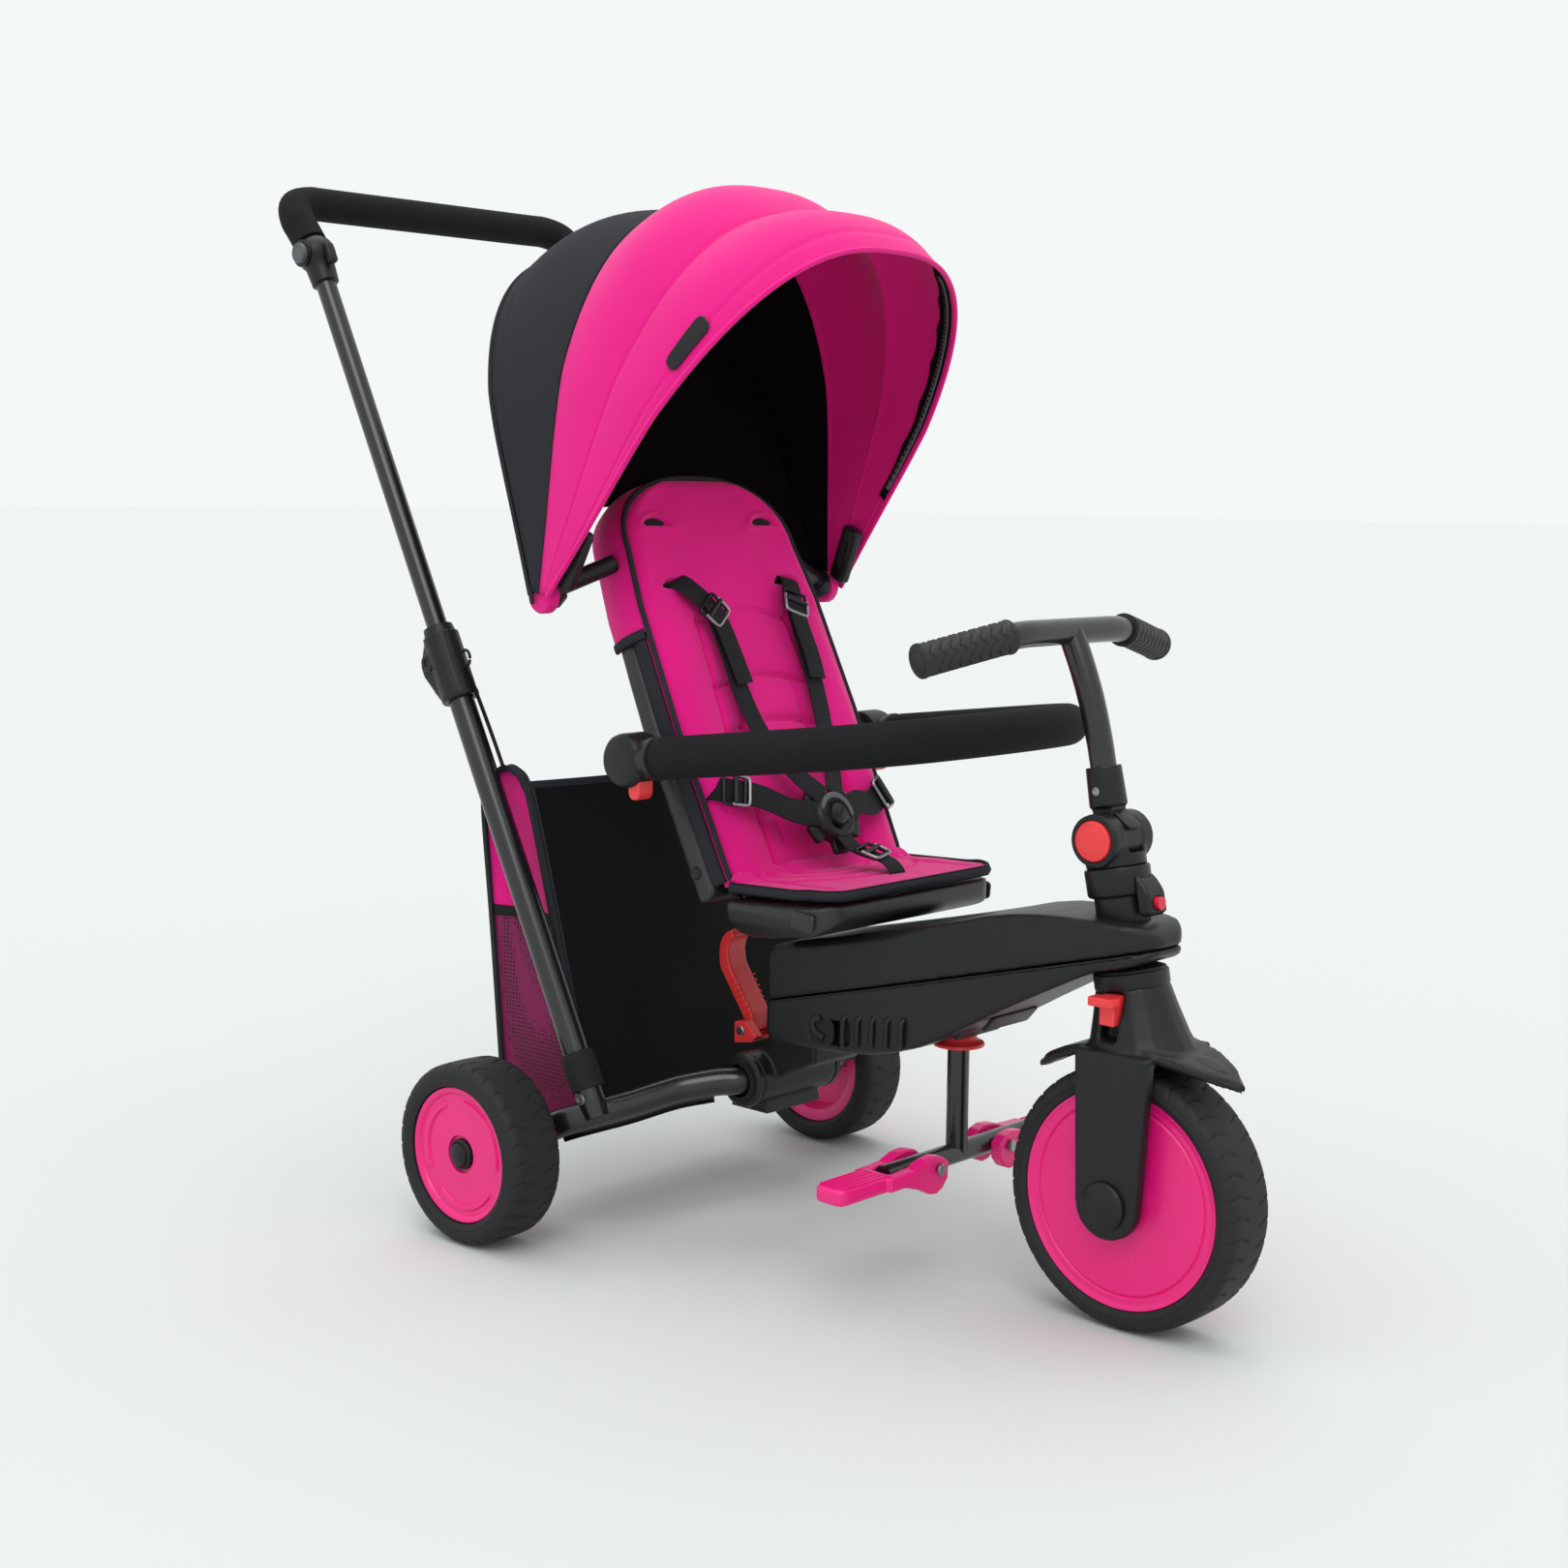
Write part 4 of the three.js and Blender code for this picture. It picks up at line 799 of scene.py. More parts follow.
def rear_frame():
    half = ((140, 52, 130), (126, 66, 129), (106, 92, 124), (90, 130, 116), (78, 158, 111), (56, 173, 102),
            (26, 176, 87), (0, 176, REAR_R))
    line = [at(x, -y, z) for x, y, z in reversed(half)] + [at(140, -30, 130), at(140, 30, 130)]
    line += [at(x, y, z) for x, y, z in half]
    bow = tube("bow_tube", line, 12, "rear_frame", "black_tube", count=200, tension=0.4)
    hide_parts("rear_bow")
    for side, s in SIDES:
        lug = [(0, 165), (13, 165), (15, 166.5), (15, 185), (13.4, 187), (5.6, 187), (5.6, 235), (0, 235)]
        lathe(f"dropout_{side}", lug, at(0, 0, REAR_R), (0, s, 0), "rear_frame", "black_tube", turns=56)
        lower = sweep(f"tube_lower_{side}", [at(*on_tube(s, 2)), at(*on_tube(s, 404))], ring(11, 48),
                      "rear_frame",
                      "black_tube")
        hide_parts(f"push_tube_lower_{side}")
        # The foot of the tube is pressed flat onto the bow, with a dimple and a bolt.
        foot = curve_points([at(*on_tube(s, 16)), at(*on_tube(s, 6)), at(*on_tube(s, -6)),
                             at(*on_tube(s, -16))], 24)
        sweep(f"tube_foot_{side}", foot, ring(11.4, 40), "rear_frame", "black_tube",
              size=lambda t: 1 - 0.12 * step(0.5, 1, t))
        bolt = [(0, 0), (5, 0), (5.2, 1), (4.6, 2.4), (2.5, 2.6), (2.1, 1.6), (0, 1.6)]
        lathe(f"tube_bolt_{side}", bolt, at(*on_tube(s, 2)) + Vector((0, s * 0.0108, 0)), (0, s, 0),
              "rear_frame",
              "grey_plastic", DARK_METAL, turns=28)
        band = [(11.15, 8), (13.8, 8.4), (14.4, 20), (14, 36), (12.4, 40), (11.15, 40.4), (11.15, 8)]
        lathe(f"hook_band_{side}", band, at(*on_tube(s, 0)), TUBE_UP, "rear_frame", "bag_fabric", WEBBING,
              turns=48)
        edge_strip(side, s)
        clamp(side, s)
        hang_strap(side, s)
    for side, s in SIDES:
        button = lathe(f"height_knob_{side}", [(0, -4), (4.9, -4), (4.9, 2.2), (4.2, 3), (0, 3.3)],
                       at(*on_tube(s, 376, 22)), TUBE_BACK, f"height_button_{side}", "coral_plastic",
                       turns=36)
        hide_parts(f"height_button_{side}")


def edge_strip(side, s):
    """A thin steel strip welded along the underside of the bow."""
    path = [at(52, s * 171, 88), at(76, s * 158, 98), at(89, s * 130, 103), at(105, s * 92, 111),
            at(124, s * 67, 116)]
    sweep(f"edge_strip_{side}", curve_points(path, 60), flat_section(2.4, 8), "rear_frame", "black_tube",
          up=(0.25, 0, 1))


def clamp(side, s):
    shell = copied(f"height_clamp_{side}", f"clamp_shell_{side}", "rear_frame", "black_plastic", SATIN_BLACK,
                   voxel=1.2, rounds=5)
    shell.data.name = f"clamp_shell_{side}"
    lip = [(11.1, 0), (15.4, 0), (16.4, 1.4), (16.4, 5), (15.4, 6.2), (11.1, 6.2), (11.1, 0)]
    lathe(f"clamp_lip_{side}", lip, at(*on_tube(s, 358)), TUBE_UP, "rear_frame", "black_plastic", turns=48)
    cap = [(9.3, 0), (13.2, 0), (14, 1.2), (12.8, 9), (9.3, 9.6), (9.3, 0)]
    lathe(f"clamp_top_{side}", cap, at(*on_tube(s, 416)), TUBE_UP, "rear_frame", "black_plastic", turns=48)
    screw = [(0, 0), (6.8, 0), (7.4, 1), (7.4, 3), (6.6, 4), (3.4, 4), (3, 3), (0, 3)]
    lathe(f"clamp_screw_{side}", screw, at(*on_tube(s, 398, 12)) + Vector((0, s * 0.0105, 0)), (0, s, 0),
          "rear_frame",
          "black_plastic", turns=40)


def hang_strap(side, s):
    """The bag hangs from a ring and a narrow strap at each clamp."""
    ring_middle = at(*on_tube(s * 0.985, 388, -19))
    loop = [ring_middle + Vector((5.5 * math.cos(a), 0, 7 * math.sin(a))) * MM
            for a in np.linspace(0, math.tau * 0.98, 30)]
    sweep(f"strap_ring_{side}", loop, ring(1.4, 12), "rear_frame", "black_plastic", up=(0, 1, 0))
    low = at(-46, s * 150.5, 384)
    high = ring_middle - Vector((0, 0, 0.006))
    path = [high, high.lerp(low, 0.35) + Vector((0.001, 0, 0)), high.lerp(low, 0.7) + Vector((0.001, 0, 0)),
            low]
    sweep(f"hang_strap_{side}", curve_points(path, 40), flat_section(9, 1.6), "rear_frame", "bag_fabric",
          WEBBING,
          up=(0.5, 1, 0.1))


# ---- push handle ----
def push_handle():
    mid = at(*on_tube(0, 789))
    top = mid + Vector((-43, 0, 50)) * MM
    for side, s in SIDES:
        upper = sweep(f"tube_upper_{side}", [at(*on_tube(s, 225)), at(*on_tube(s, 777))], ring(9, 40),
                      "push_handle",
                      "black_tube")
        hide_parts(f"push_tube_upper_{side}")
        ball = [(0, -30), (10.6, -30), (12, -29), (12.6, -20), (13, -12)]
        ball += [(17.4 * math.cos(a), 17.4 * math.sin(a)) for a in np.linspace(-0.65, 0.9, 16)]
        ball += [(0, 13.8)]
        knuckle = lathe(f"knuckle_{side}", ball, at(*on_tube(s, 789)), TUBE_UP, "push_handle",
                        "black_plastic",
                        turns=56)
        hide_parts(f"handle_knuckle_{side}")
        hub = at(*on_tube(s, 789))
        collar = [(9.4, 13), (11.4, 13), (12, 14), (12, 16.2), (9.4, 16.4), (9.4, 13)]
        lathe(f"knuckle_collar_{side}", collar, hub, (0, s, 0), "push_handle", "black_plastic", turns=40)
        cap = [(0, 13), (8.8, 13), (9, 18.8), (8.4, 20.2), (7.4, 20.6), (6.9, 20), (0, 20.1)]
        button = lathe(f"knuckle_cap_{side}", cap, hub, (0, s, 0), f"knuckle_button_{side}", "grey_plastic",
                       turns=40)
        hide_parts(f"knuckle_button_{side}")
        hook = rounded(f"knuckle_hook_{side}", oblong(9, 20, 3.5), 7, at(*on_tube(s, 780, -15)), -TUBE_BACK,
                       TUBE_UP, "push_handle", "black_plastic", bevel=2)
        hook.data.name = f"knuckle_hook_{side}"
    line = []
    for s in (-1, 1):
        half = [mid.lerp(top, 0.2), mid.lerp(top, 0.42), mid.lerp(top, 0.66), mid.lerp(top, 0.9), top.copy(),
                top.copy()]
        for p, y in zip(half, (165, 165, 165, 158, 139, 112)):
            p.y = s * y * MM
        line += half if s < 0 else half[::-1]
    foam = tube("handle_foam", line, 15, "handle_bar", "grip_foam", count=240, tension=0.45)
    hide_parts("handle_bar")


# ---- seat: everything on the backrest is placed by (depth, side, height along it) ----
BACK_LEAN = math.radians(25.5)


def on_back(d, y, s):
    return at(168 + d * math.cos(BACK_LEAN) - s * math.sin(BACK_LEAN), y,
              296 + d * math.sin(BACK_LEAN) + s * math.cos(BACK_LEAN))


BACK_OUT = (math.cos(BACK_LEAN), 0, math.sin(BACK_LEAN))
BACK_UP = (-math.sin(BACK_LEAN), 0, math.cos(BACK_LEAN))
PAD_TOP = 364
CROWN = 300


def pad_half(s):
    """Half the liner's width at a height along the backrest."""
    if s < CROWN:
        return np.interp(s, (0, 16, 146, 250, CROWN), (103, 106, 110, 107.5, 101))
    return 101 * max(0.0, 1 - ((s - CROWN) / (PAD_TOP - CROWN)) ** 2.3) ** (1 / 2.3)


def slot_dent(y, s, middle_y, middle_s):
    """A strap slot: a sunk slit inside a raised lip."""
    across = (y - middle_y) / 17
    along = (s - middle_s + 3 * across**2) / 5
    reach = math.hypot(across, along)
    return 2.2 * groove(reach - 1.3, 0.34) - 4 * (1 - step(0.5, 1.0, reach))


def pad_relief(y, s):
    """How far the liner's face stands out from its flat, by its seams, bolsters and slots."""
    side = abs(y)
    h = 0.0
    column = 55 + 6 * math.sin(math.pi * step(20, 236, s))
    low = 1 - step(228, 240, s)
    h -= 6.0 * groove(side - column, 3.0) * low
    inner = 34 + 4 * math.sin(math.pi * s / 236)
    h -= 3.4 * groove(side - inner, 2.4) * (1 - step(172, 184, s)) * step(20, 40, s)
    if side < column:
        h -= 3.2 * low * step(0, 12, column - side)
        bow = 10 * (1 - (side / column) ** 2)
        for seam, deep in ((229, 3.6), (170, 4.4), (130, 4.2), (92, 4.0), (55, 3.6)):
            h -= deep * groove(s - seam - bow, 2.6)
        seams = (229, 170, 130, 92, 55, 10)
        for high, under in zip(seams, seams[1:]):
            t = (s - under - bow) / (high - under)
            if 0 < t < 1:
                h += 3.4 * math.sin(math.pi * t) ** 0.7 * math.cos(side / column * math.pi / 2) ** 0.6
    else:
        h += 3.6 * math.sin(math.pi * min(1, (side - column) / 50)) * low
    h -= 2.2 * groove(math.hypot(y / 1.35, s - 318) - 46, 11) * step(262, 300, s) * 0.5
    for sy in (-68, 68):
        h += slot_dent(y, s, sy, 265)
        h += slot_dent(y, s, sy * 0.97, 322)
    h += 0.35 * math.sin(y / 17 + 2 * math.sin(s / 31)) * math.sin(s / 23)
    return h


def back_liner():
    rows = 190
    columns = 120

    def place(u, v):
        s = mix(6, PAD_TOP, 1 - (1 - v) ** 1.6)
        half = pad_half(s)
        w = mix(-1, 1, u)
        w = math.sin(w * math.pi / 2) * 0.35 + w * 0.65
        y = w * half
        edge = half * (1 - abs(w))
        top = PAD_TOP - s
        roll = min(1.0, edge / 13, (top + 1) / 15)
        depth = 7 + 15.5 * math.sqrt(max(0.0, 1 - (1 - max(roll, 0)) ** 2))
        inside = step(6, 20, min(edge, top))
        return on_back(depth + pad_relief(y, s) * inside, y, s)

    front = grid("back_liner", place, columns, rows, "backrest", "liner_fabric")
    if sum((p.normal @ Vector(BACK_OUT)) for p in front.data.polygons) < 0:
        front.data.flip_normals()
    solid = front.modifiers.new("thickness", "SOLIDIFY")
    solid.thickness = 0.006
    solid.offset = -1
    baked(front)
    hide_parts("back_cushion")
    # Near-black ovals on the liner's face: painted shade for the strap slots' openings.
    for sy in (-68, 68):
        for height in (265, 322):
            y = sy * (1 if height == 265 else 0.97)
            oval = [(14.5 * math.cos(a), 4.4 * math.sin(a) - 2.2 * math.cos(a) ** 2) for a in
                    np.linspace(0, math.tau, 28, endpoint=False)]
            rounded(f"strap_slot_shade_{height}_{sy}", oval, 1.2, on_back(18.4, y, height), BACK_OUT, BACK_UP,
                    "backrest",
                    "bag_fabric", SLOT_SHADE_AND_ZIP_BLACK, bevel=0.3, segments=1)


def outline_at(t):
    """(side, height) round the liner's edge, from its right foot over the top to its left foot."""
    if t < 0.36:
        s = mix(10, CROWN, t / 0.36)
        return -pad_half(s), s
    if t > 0.64:
        s = mix(CROWN, 10, (t - 0.64) / 0.36)
        return pad_half(s), s
    a = (t - 0.36) / 0.28 * math.pi
    c, n = -math.cos(a), math.sin(a)
    power = 2 / 2.3
    y = 101 * math.copysign(abs(c) ** power, c)
    return y, CROWN + (PAD_TOP - CROWN) * abs(n) ** power


def back_sides():
    """The hood that wraps the top of the shell, its piping, and the black band below it."""
    hood_from = 0.36 * (227 - 10) / (CROWN - 10)
    centre = (0, 170)

    def band(a, b, deep, shallow, grow, puff):
        def place(u, v):
            y, s = outline_at(mix(a, b, u))
            if s > 250:
                away = Vector((y - centre[0], max(0, s - 250) * 1.6)).normalized()
            else:
                away = Vector((y, 0)).normalized()
            out = grow + puff * math.sin(math.pi * v)
            return on_back(mix(shallow, deep, v), y + away.x * out, s + away.y * out)
        return place

    hood = grid("liner_hood", band(hood_from, 1 - hood_from, -24, 14, 0.2, 4.2), 150, 12, "backrest",
                "liner_fabric",
                thickness=2.4)
    for side, a, b in (("right", 0.0, hood_from), ("left", 1 - hood_from, 1.0)):
        lower = grid(f"liner_side_{side}", band(a, b, -4, 11, 0.6, 1.2), 60, 6, "backrest", "bag_fabric",
                     BLACK_CLOTH,
                     thickness=2)
    line = []
    for t in np.linspace(0, 1, 120):
        y, s = outline_at(t)
        line.append(on_back(16.2, y * 1.002, s + 0.6 * step(CROWN, PAD_TOP, s)))
    sweep("liner_piping", curve_points(line, 260), ring(2.3, 12), "backrest", "bag_fabric", BLACK_CLOTH)
    for side, s in SIDES:
        t = hood_from if s < 0 else 1 - hood_from
        y, height = outline_at(t)
        edge = [on_back(d, y + s * (1.4 + 4.2 * math.sin(math.pi * k / 8)), height - 1)
                for k, d in enumerate(np.linspace(13, -24, 9))]
        sweep(f"hood_binding_{side}", curve_points(edge, 24), flat_section(9, 4.4), "backrest", "bag_fabric",
              BLACK_CLOTH, up=(0, s, 0))


def seat_liner():
    """The seat's pad: arcs stitched round the crotch strap, an upturned rear, and a bound edge."""
    front, corner, half = 287.5, 28, 108

    def edge_x(y):
        over = abs(y) - (half - corner)
        return front if over <= 0 else front - corner + math.sqrt(max(0.0, corner**2 - over**2))

    def place(u, v):
        w = math.sin(mix(-1, 1, v) * math.pi / 2) * 0.3 + mix(-1, 1, v) * 0.7
        y = w * half
        x = mix(181, edge_x(y), u)
        z = mix(310.5, 314.5, (x - 181) / 106)
        side_edge = half - abs(y)
        edge = min(side_edge, edge_x(y) - x, 40)
        z -= 4.5 * (1 - math.sqrt(max(0.0, 1 - (1 - min(1, edge / 8)) ** 2)))
        inside = step(8, 20, edge)
        reach = math.hypot((x - 168) * 1.05, y * 0.8)
        for arc, deep in ((44, 2.2), (62, 2.4), (82, 2.4)):
            z -= deep * groove(reach - arc, 2.2) * inside
        z += 1.2 * math.sin(math.pi * min(1, max(0, (reach - 20) / 70))) * inside
        z -= 2.2 * groove(side_edge - 24, 3) * inside
        z += 9 * step(14, 0, x - 181) * (1 - 0.3 * (y / half) ** 2) if x < 195 else 0
        z += 0.3 * math.sin(y / 13) * math.sin(x / 11)
        return at(x, y, z)

    pad = grid("seat_liner", place, 70, 120, "chassis", "liner_fabric")
    if sum(p.normal.z for p in pad.data.polygons) < 0:
        pad.data.flip_normals()
    solid = pad.modifiers.new("thickness", "SOLIDIFY")
    solid.thickness = 0.007
    solid.offset = -1
    baked(pad)
    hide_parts("seat_cushion")
    line = []
    for s in (-1, 1):
        run = [at(x, s * (half + 0.5), mix(306.4, 310.6, (x - 181) / 106)) for x in (181, 200, 225, 250)]
        for a in (0.15, 0.55, 0.95, 1.35):
            run.append(at(front - corner + corner * math.sin(a), s * (half - corner + corner * math.cos(a)),
                          310.8))
        run.append(at(front + 0.6, s * 40, 311))
        line += run if s < 0 else run[::-1]
    sweep("seat_binding", curve_points(line, 200), flat_section(6, 8.5), "chassis", "bag_fabric",
          BLACK_CLOTH,
          up=(0, 0, 1))


def grained_shells():
    copied("backrest_shell", "back_shell", "backrest", "black_plastic", GRAINED, voxel=2.0, rounds=8)
    copied("seat_pan", "seat_bucket", "chassis", "black_plastic", GRAINED, voxel=2.0, rounds=8)
    for side, s in SIDES:
        stud = [(0, 0), (5.2, 0), (5.6, 1), (4.8, 2.4), (0, 2.8)]
        lathe(f"shell_stud_{side}", stud, on_back(-12, s * 111.5, 26), (0, s, 0), "backrest",
              "black_plastic", turns=28)
        rounded(f"pan_tab_{side}", oblong(24, 15, 4), 3, at(262, s * 110.4, 290), (0, s, 0), (0.1, 0, 1),
                "chassis",
                "black_plastic", GRAINED, bevel=1.2)


# ---- harness ----
def webbing(name, path, width=20.0, body="backrest", up=BACK_OUT, count=70):
    line = curve_points(path, count)
    section = flat_section(width, 1.5)
    return sweep(name, line, section, body, "bag_fabric", WEBBING, up=up)


def adjuster(name, place, along, face, body, width=24.0):
    """A ladder-lock slide: a black frame, a cross bar and a bright wire end."""
    along = Vector(along).normalized()
    face = Vector(face).normalized()
    across = along.cross(face)
    frame_line = [(-width / 2, -9), (width / 2, -9), (width / 2, 9), (-width / 2, 9)]
    corners = [place + across * a * MM + along * b * MM + face * 1.6 * MM for a, b in frame_line]
    corners.append(corners[0])
    sweep(f"{name}_frame", curve_points(corners, 60, tension=0.12), flat_section(3, 3.2), body,
          "black_plastic",
          up=tuple(face))
    bar = [place + across * a * MM + face * 3.4 * MM for a in (-width / 2, width / 2)]
    sweep(f"{name}_bar", curve_points(bar, 8), ring(2.2, 14), body, "black_plastic", up=tuple(face))
    wire = [place + across * a * MM + along * b * MM + face * 3.2 * MM
            for a, b in ((-width / 2 - 0.5, 3), (-width / 2 + 0.5, -11), (0, -12.2), (width / 2 - 0.5, -11),
                         (width / 2 + 0.5, 3))]
    sweep(f"{name}_wire", curve_points(wire, 40, tension=0.35), ring(1.5, 12), body, "grey_plastic",
          DARK_METAL,
          up=tuple(face))


def harness():
    out = Vector(BACK_OUT)
    rise = Vector(BACK_UP)
    right = [(18, -68, 268), (27, -66, 264), (31, -57, 253), (31.5, -44, 236), (31, -40, 200),
             (32.5, -41, 160),
             (36, -36, 120), (45, -21, 82), (52, -8, 60)]
    left = [(18, 68, 268), (27, 67, 264), (31, 64, 253), (31.5, 59, 240), (31, 56, 200), (32.5, 51, 160),
            (36, 40, 120), (45, 22, 82), (52, 8, 60)]
    webbing("shoulder_strap_right", [on_back(*p) for p in right])
    webbing("shoulder_strap_left", [on_back(*p) for p in left])
    for side, path in (("right", right), ("left", left)):
        a, b = on_back(*path[3]), on_back(*path[2])
        adjuster(f"shoulder_slide_{side}", a + out * 0.6 * MM, b - a, out, "backrest")
        tail = [on_back(path[3][0] + 2.2, path[3][1], path[3][2] + 6), on_back(36, path[4][1] - 1, 216),
                on_back(36.5, path[4][1] * 0.98, 190), on_back(36.5, path[4][1] * 0.94, 168)]
        webbing(f"shoulder_tail_{side}", tail, width=19, count=30)
    for side, s, y_out, s_out in (("right", -1, 97, 84), ("left", 1, 103, 66)):
        path = [(17, s * (y_out + 2), s_out + 2), (27, s * (y_out - 4), s_out - 2), (38, s * 66, s_out - 14),
                (46, s * 40, 52), (51, s * 20, 46), (54, s * 8, 44)]
        webbing(f"waist_strap_{side}", [on_back(*p) for p in path], width=22, up=BACK_OUT)
        a, b = on_back(*path[2]), on_back(*path[1])
        adjuster(f"waist_slide_{side}", b + (a - b) * 0.25 + out * 1.2 * MM, b - a, out, "backrest",
                 width=27)
    crotch = [at(205, 0, 341), at(216, 3, 331), at(230, 8, 326), at(244, 11, 323), at(253, 12, 316),
              at(255, 12, 309)]
    webbing("crotch_strap", crotch, width=20, body="chassis", up=(0.35, 0, 1))
    adjuster("crotch_slide", at(229, 8, 327.4), Vector((-1, -0.3, 0.35)), (0.35, 0, 1), "chassis", width=25)
    # The buckle: a body with three sockets, a ring with a pale crescent, and a domed button.
    base = at(191.5, 0, 353.5)
    body = [(0, -5), (19, -5), (21.5, -3), (22, 2), (21, 6), (18.6, 8.6), (17.6, 9), (16.4, 8.4),
            (13.4, 8.8),
            (11.4, 7), (10, 6), (0, 6)]
    shell = lathe("buckle_shell", body, base, out, "backrest", "black_plastic", SATIN_BLACK, turns=64)
    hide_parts("buckle_housing")
    dome = [(0, 7), (9.3, 7), (9.6, 9.6), (8.8, 11.4), (7.4, 12), (6.6, 11.7), (5.4, 12.2), (2.6, 12.6),
            (0, 12.7)]
    button = lathe("buckle_dome", dome, base, out, "buckle", "black_plastic", turns=56)
    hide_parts("buckle_button")
    side = rise.cross(out)
    crescent = [base + (side * 17 * math.cos(a) + rise * 17 * math.sin(a) + out * 9.2) * MM
                for a in np.linspace(-0.15, 2.75, 40)]
    sweep("buckle_crescent", np.array([tuple(p) for p in crescent]), flat_section(5.4, 2.0), "backrest",
          "grey_plastic", up=BACK_OUT, size=lambda t: 0.45 + 0.55 * math.sin(math.pi * t) ** 0.5)
    for angle in (50, 130, 205, -25, 270):
        a = math.radians(angle)
        way = side * math.cos(a) + rise * math.sin(a)
        socket = rounded(f"buckle_socket_{angle}", oblong(17, 15, 3.5), 6,
                         base + way * 24 * MM - out * 3 * MM, out,
                         way, "backrest", "black_plastic", SATIN_BLACK, bevel=1.6)
        socket.data.name = f"buckle_socket_{angle}"


# ---- arm bar ----
ARM_RISE = math.radians(7.2)
ARM_PIVOT = (108, 406)


def on_arm(x, y, z=0.0):
    """A point in the arm bar's plane: x ahead of its pivot, z off the plane."""
    return at(ARM_PIVOT[0] + x * math.cos(ARM_RISE) - z * math.sin(ARM_RISE), y,
              ARM_PIVOT[1] + x * math.sin(ARM_RISE) + z * math.cos(ARM_RISE))


def arm_bar():
    plan = ((30, 147), (100, 147), (176, 144), (218, 132), (248, 104), (262, 60), (266, 0))
    line = [on_arm(x, -y) for x, y in plan] + [on_arm(x, y) for x, y in reversed(plan[:-1])]
    foam = tube("arm_foam", line, 17, "arm_bar", "grip_foam", count=220,
                size=lambda t: 0.9 + 0.1 * step(0, 0.012, min(t, 1 - t)))
    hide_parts("arm_bar")
    for side, s in SIDES:
        pivot = at(ARM_PIVOT[0], 0, ARM_PIVOT[1])
        cap = [(0, 131), (19.5, 131), (21.4, 132.4), (22.2, 136), (22.2, 155), (21.4, 159), (19.2, 161.6),
               (16, 162.8),
               (9, 163.4), (0, 163.6)]
        disc_cap = lathe(f"arm_end_{side}", cap, pivot, (0, s, 0), "arm_bar", "black_plastic", SATIN_BLACK,
                         turns=72)
        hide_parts(f"arm_cap_{side}")
        neck = [(0, 12), (15, 12), (15.6, 20), (16.8, 25), (17.8, 27), (17.6, 31), (15, 32), (0, 32)]
        ahead = on_arm(1, 0) - on_arm(0, 0)
        lathe(f"arm_neck_{side}", neck, on_arm(0, s * 147), ahead, "arm_bar", "black_plastic", turns=48)
        inner = [(0, 126.5), (13, 126.5), (15, 128), (15.5, 131.5), (0, 131.5)]
        lathe(f"arm_boss_{side}", inner, pivot, (0, s, 0), "backrest", "black_plastic", turns=40)
        copied(f"arm_release_tab_{side}", f"arm_tab_{side}", f"arm_release_{side}", "coral_plastic",
               voxel=0.6,
               rounds=4)


# ---- canopy ----
PIVOT_X, PIVOT_Z = 29, 518
SEAMS = (113, 87, 68.5, 53)
RADII = (332, 337, 350, 367)
LOBES = (9, 19, 13)
ARCH_POWER = 2 / 2.6
CURTAIN = 0.25


def canopy_radius(angle):
    i = 0 if angle >= SEAMS[1] else 1 if angle >= SEAMS[2] else 2
    t = (SEAMS[i] - angle) / (SEAMS[i] - SEAMS[i + 1])
    return mix(RADII[i], RADII[i + 1], t) + LOBES[i] * math.sin(math.pi * min(1, max(0, t)))


def on_canopy(u, v, out=0.0):
    """u: up the rear curtain and over the bows to the front hem; v: right to left foot; out in mm."""
    spread = max(0.0, (u - CURTAIN) / (1 - CURTAIN))
    angle = mix(SEAMS[0], SEAMS[-1], spread)
    across = mix(0.008, 0.992, v) * math.pi
    a = math.radians(angle)
    radius = (canopy_radius(angle) + out) * math.sin(across) ** ARCH_POWER
    back = 0.0
    if u < CURTAIN:
        wide = abs(math.cos(across)) ** ARCH_POWER * 183
        radius = mix(min(98 - 72 * step(100, 160, wide), 0.6 * radius), radius, u / CURTAIN)
        back = out + 2.5 * math.sin(math.pi * u / CURTAIN) * math.sin(math.pi * v) ** 2
    c = math.cos(across)
    side = -math.copysign(abs(c) ** ARCH_POWER, c)
    flank = 6 * math.sin(math.pi * min(1, radius / (0.6 * RADII[0])))
    crease = (0.9 * math.sin(9 * spread + 26 * v) * math.sin(math.pi * spread)
              * (1 - math.sin(math.pi * v) ** 0.5))
    return at(PIVOT_X + (radius + crease) * math.cos(a) - back * math.sin(a),
              side * (183 - flank + out + crease * 0.6),
              PIVOT_Z + (radius + crease) * math.sin(a) + back * math.cos(a))


def canopy_v(k, count):
    """Even steps along an arch, closer together near its feet."""
    t = k / count
    return t - 0.08 * math.sin(math.tau * t)


def share(angle):
    return CURTAIN + (1 - CURTAIN) * (SEAMS[0] - angle) / (SEAMS[0] - SEAMS[-1])


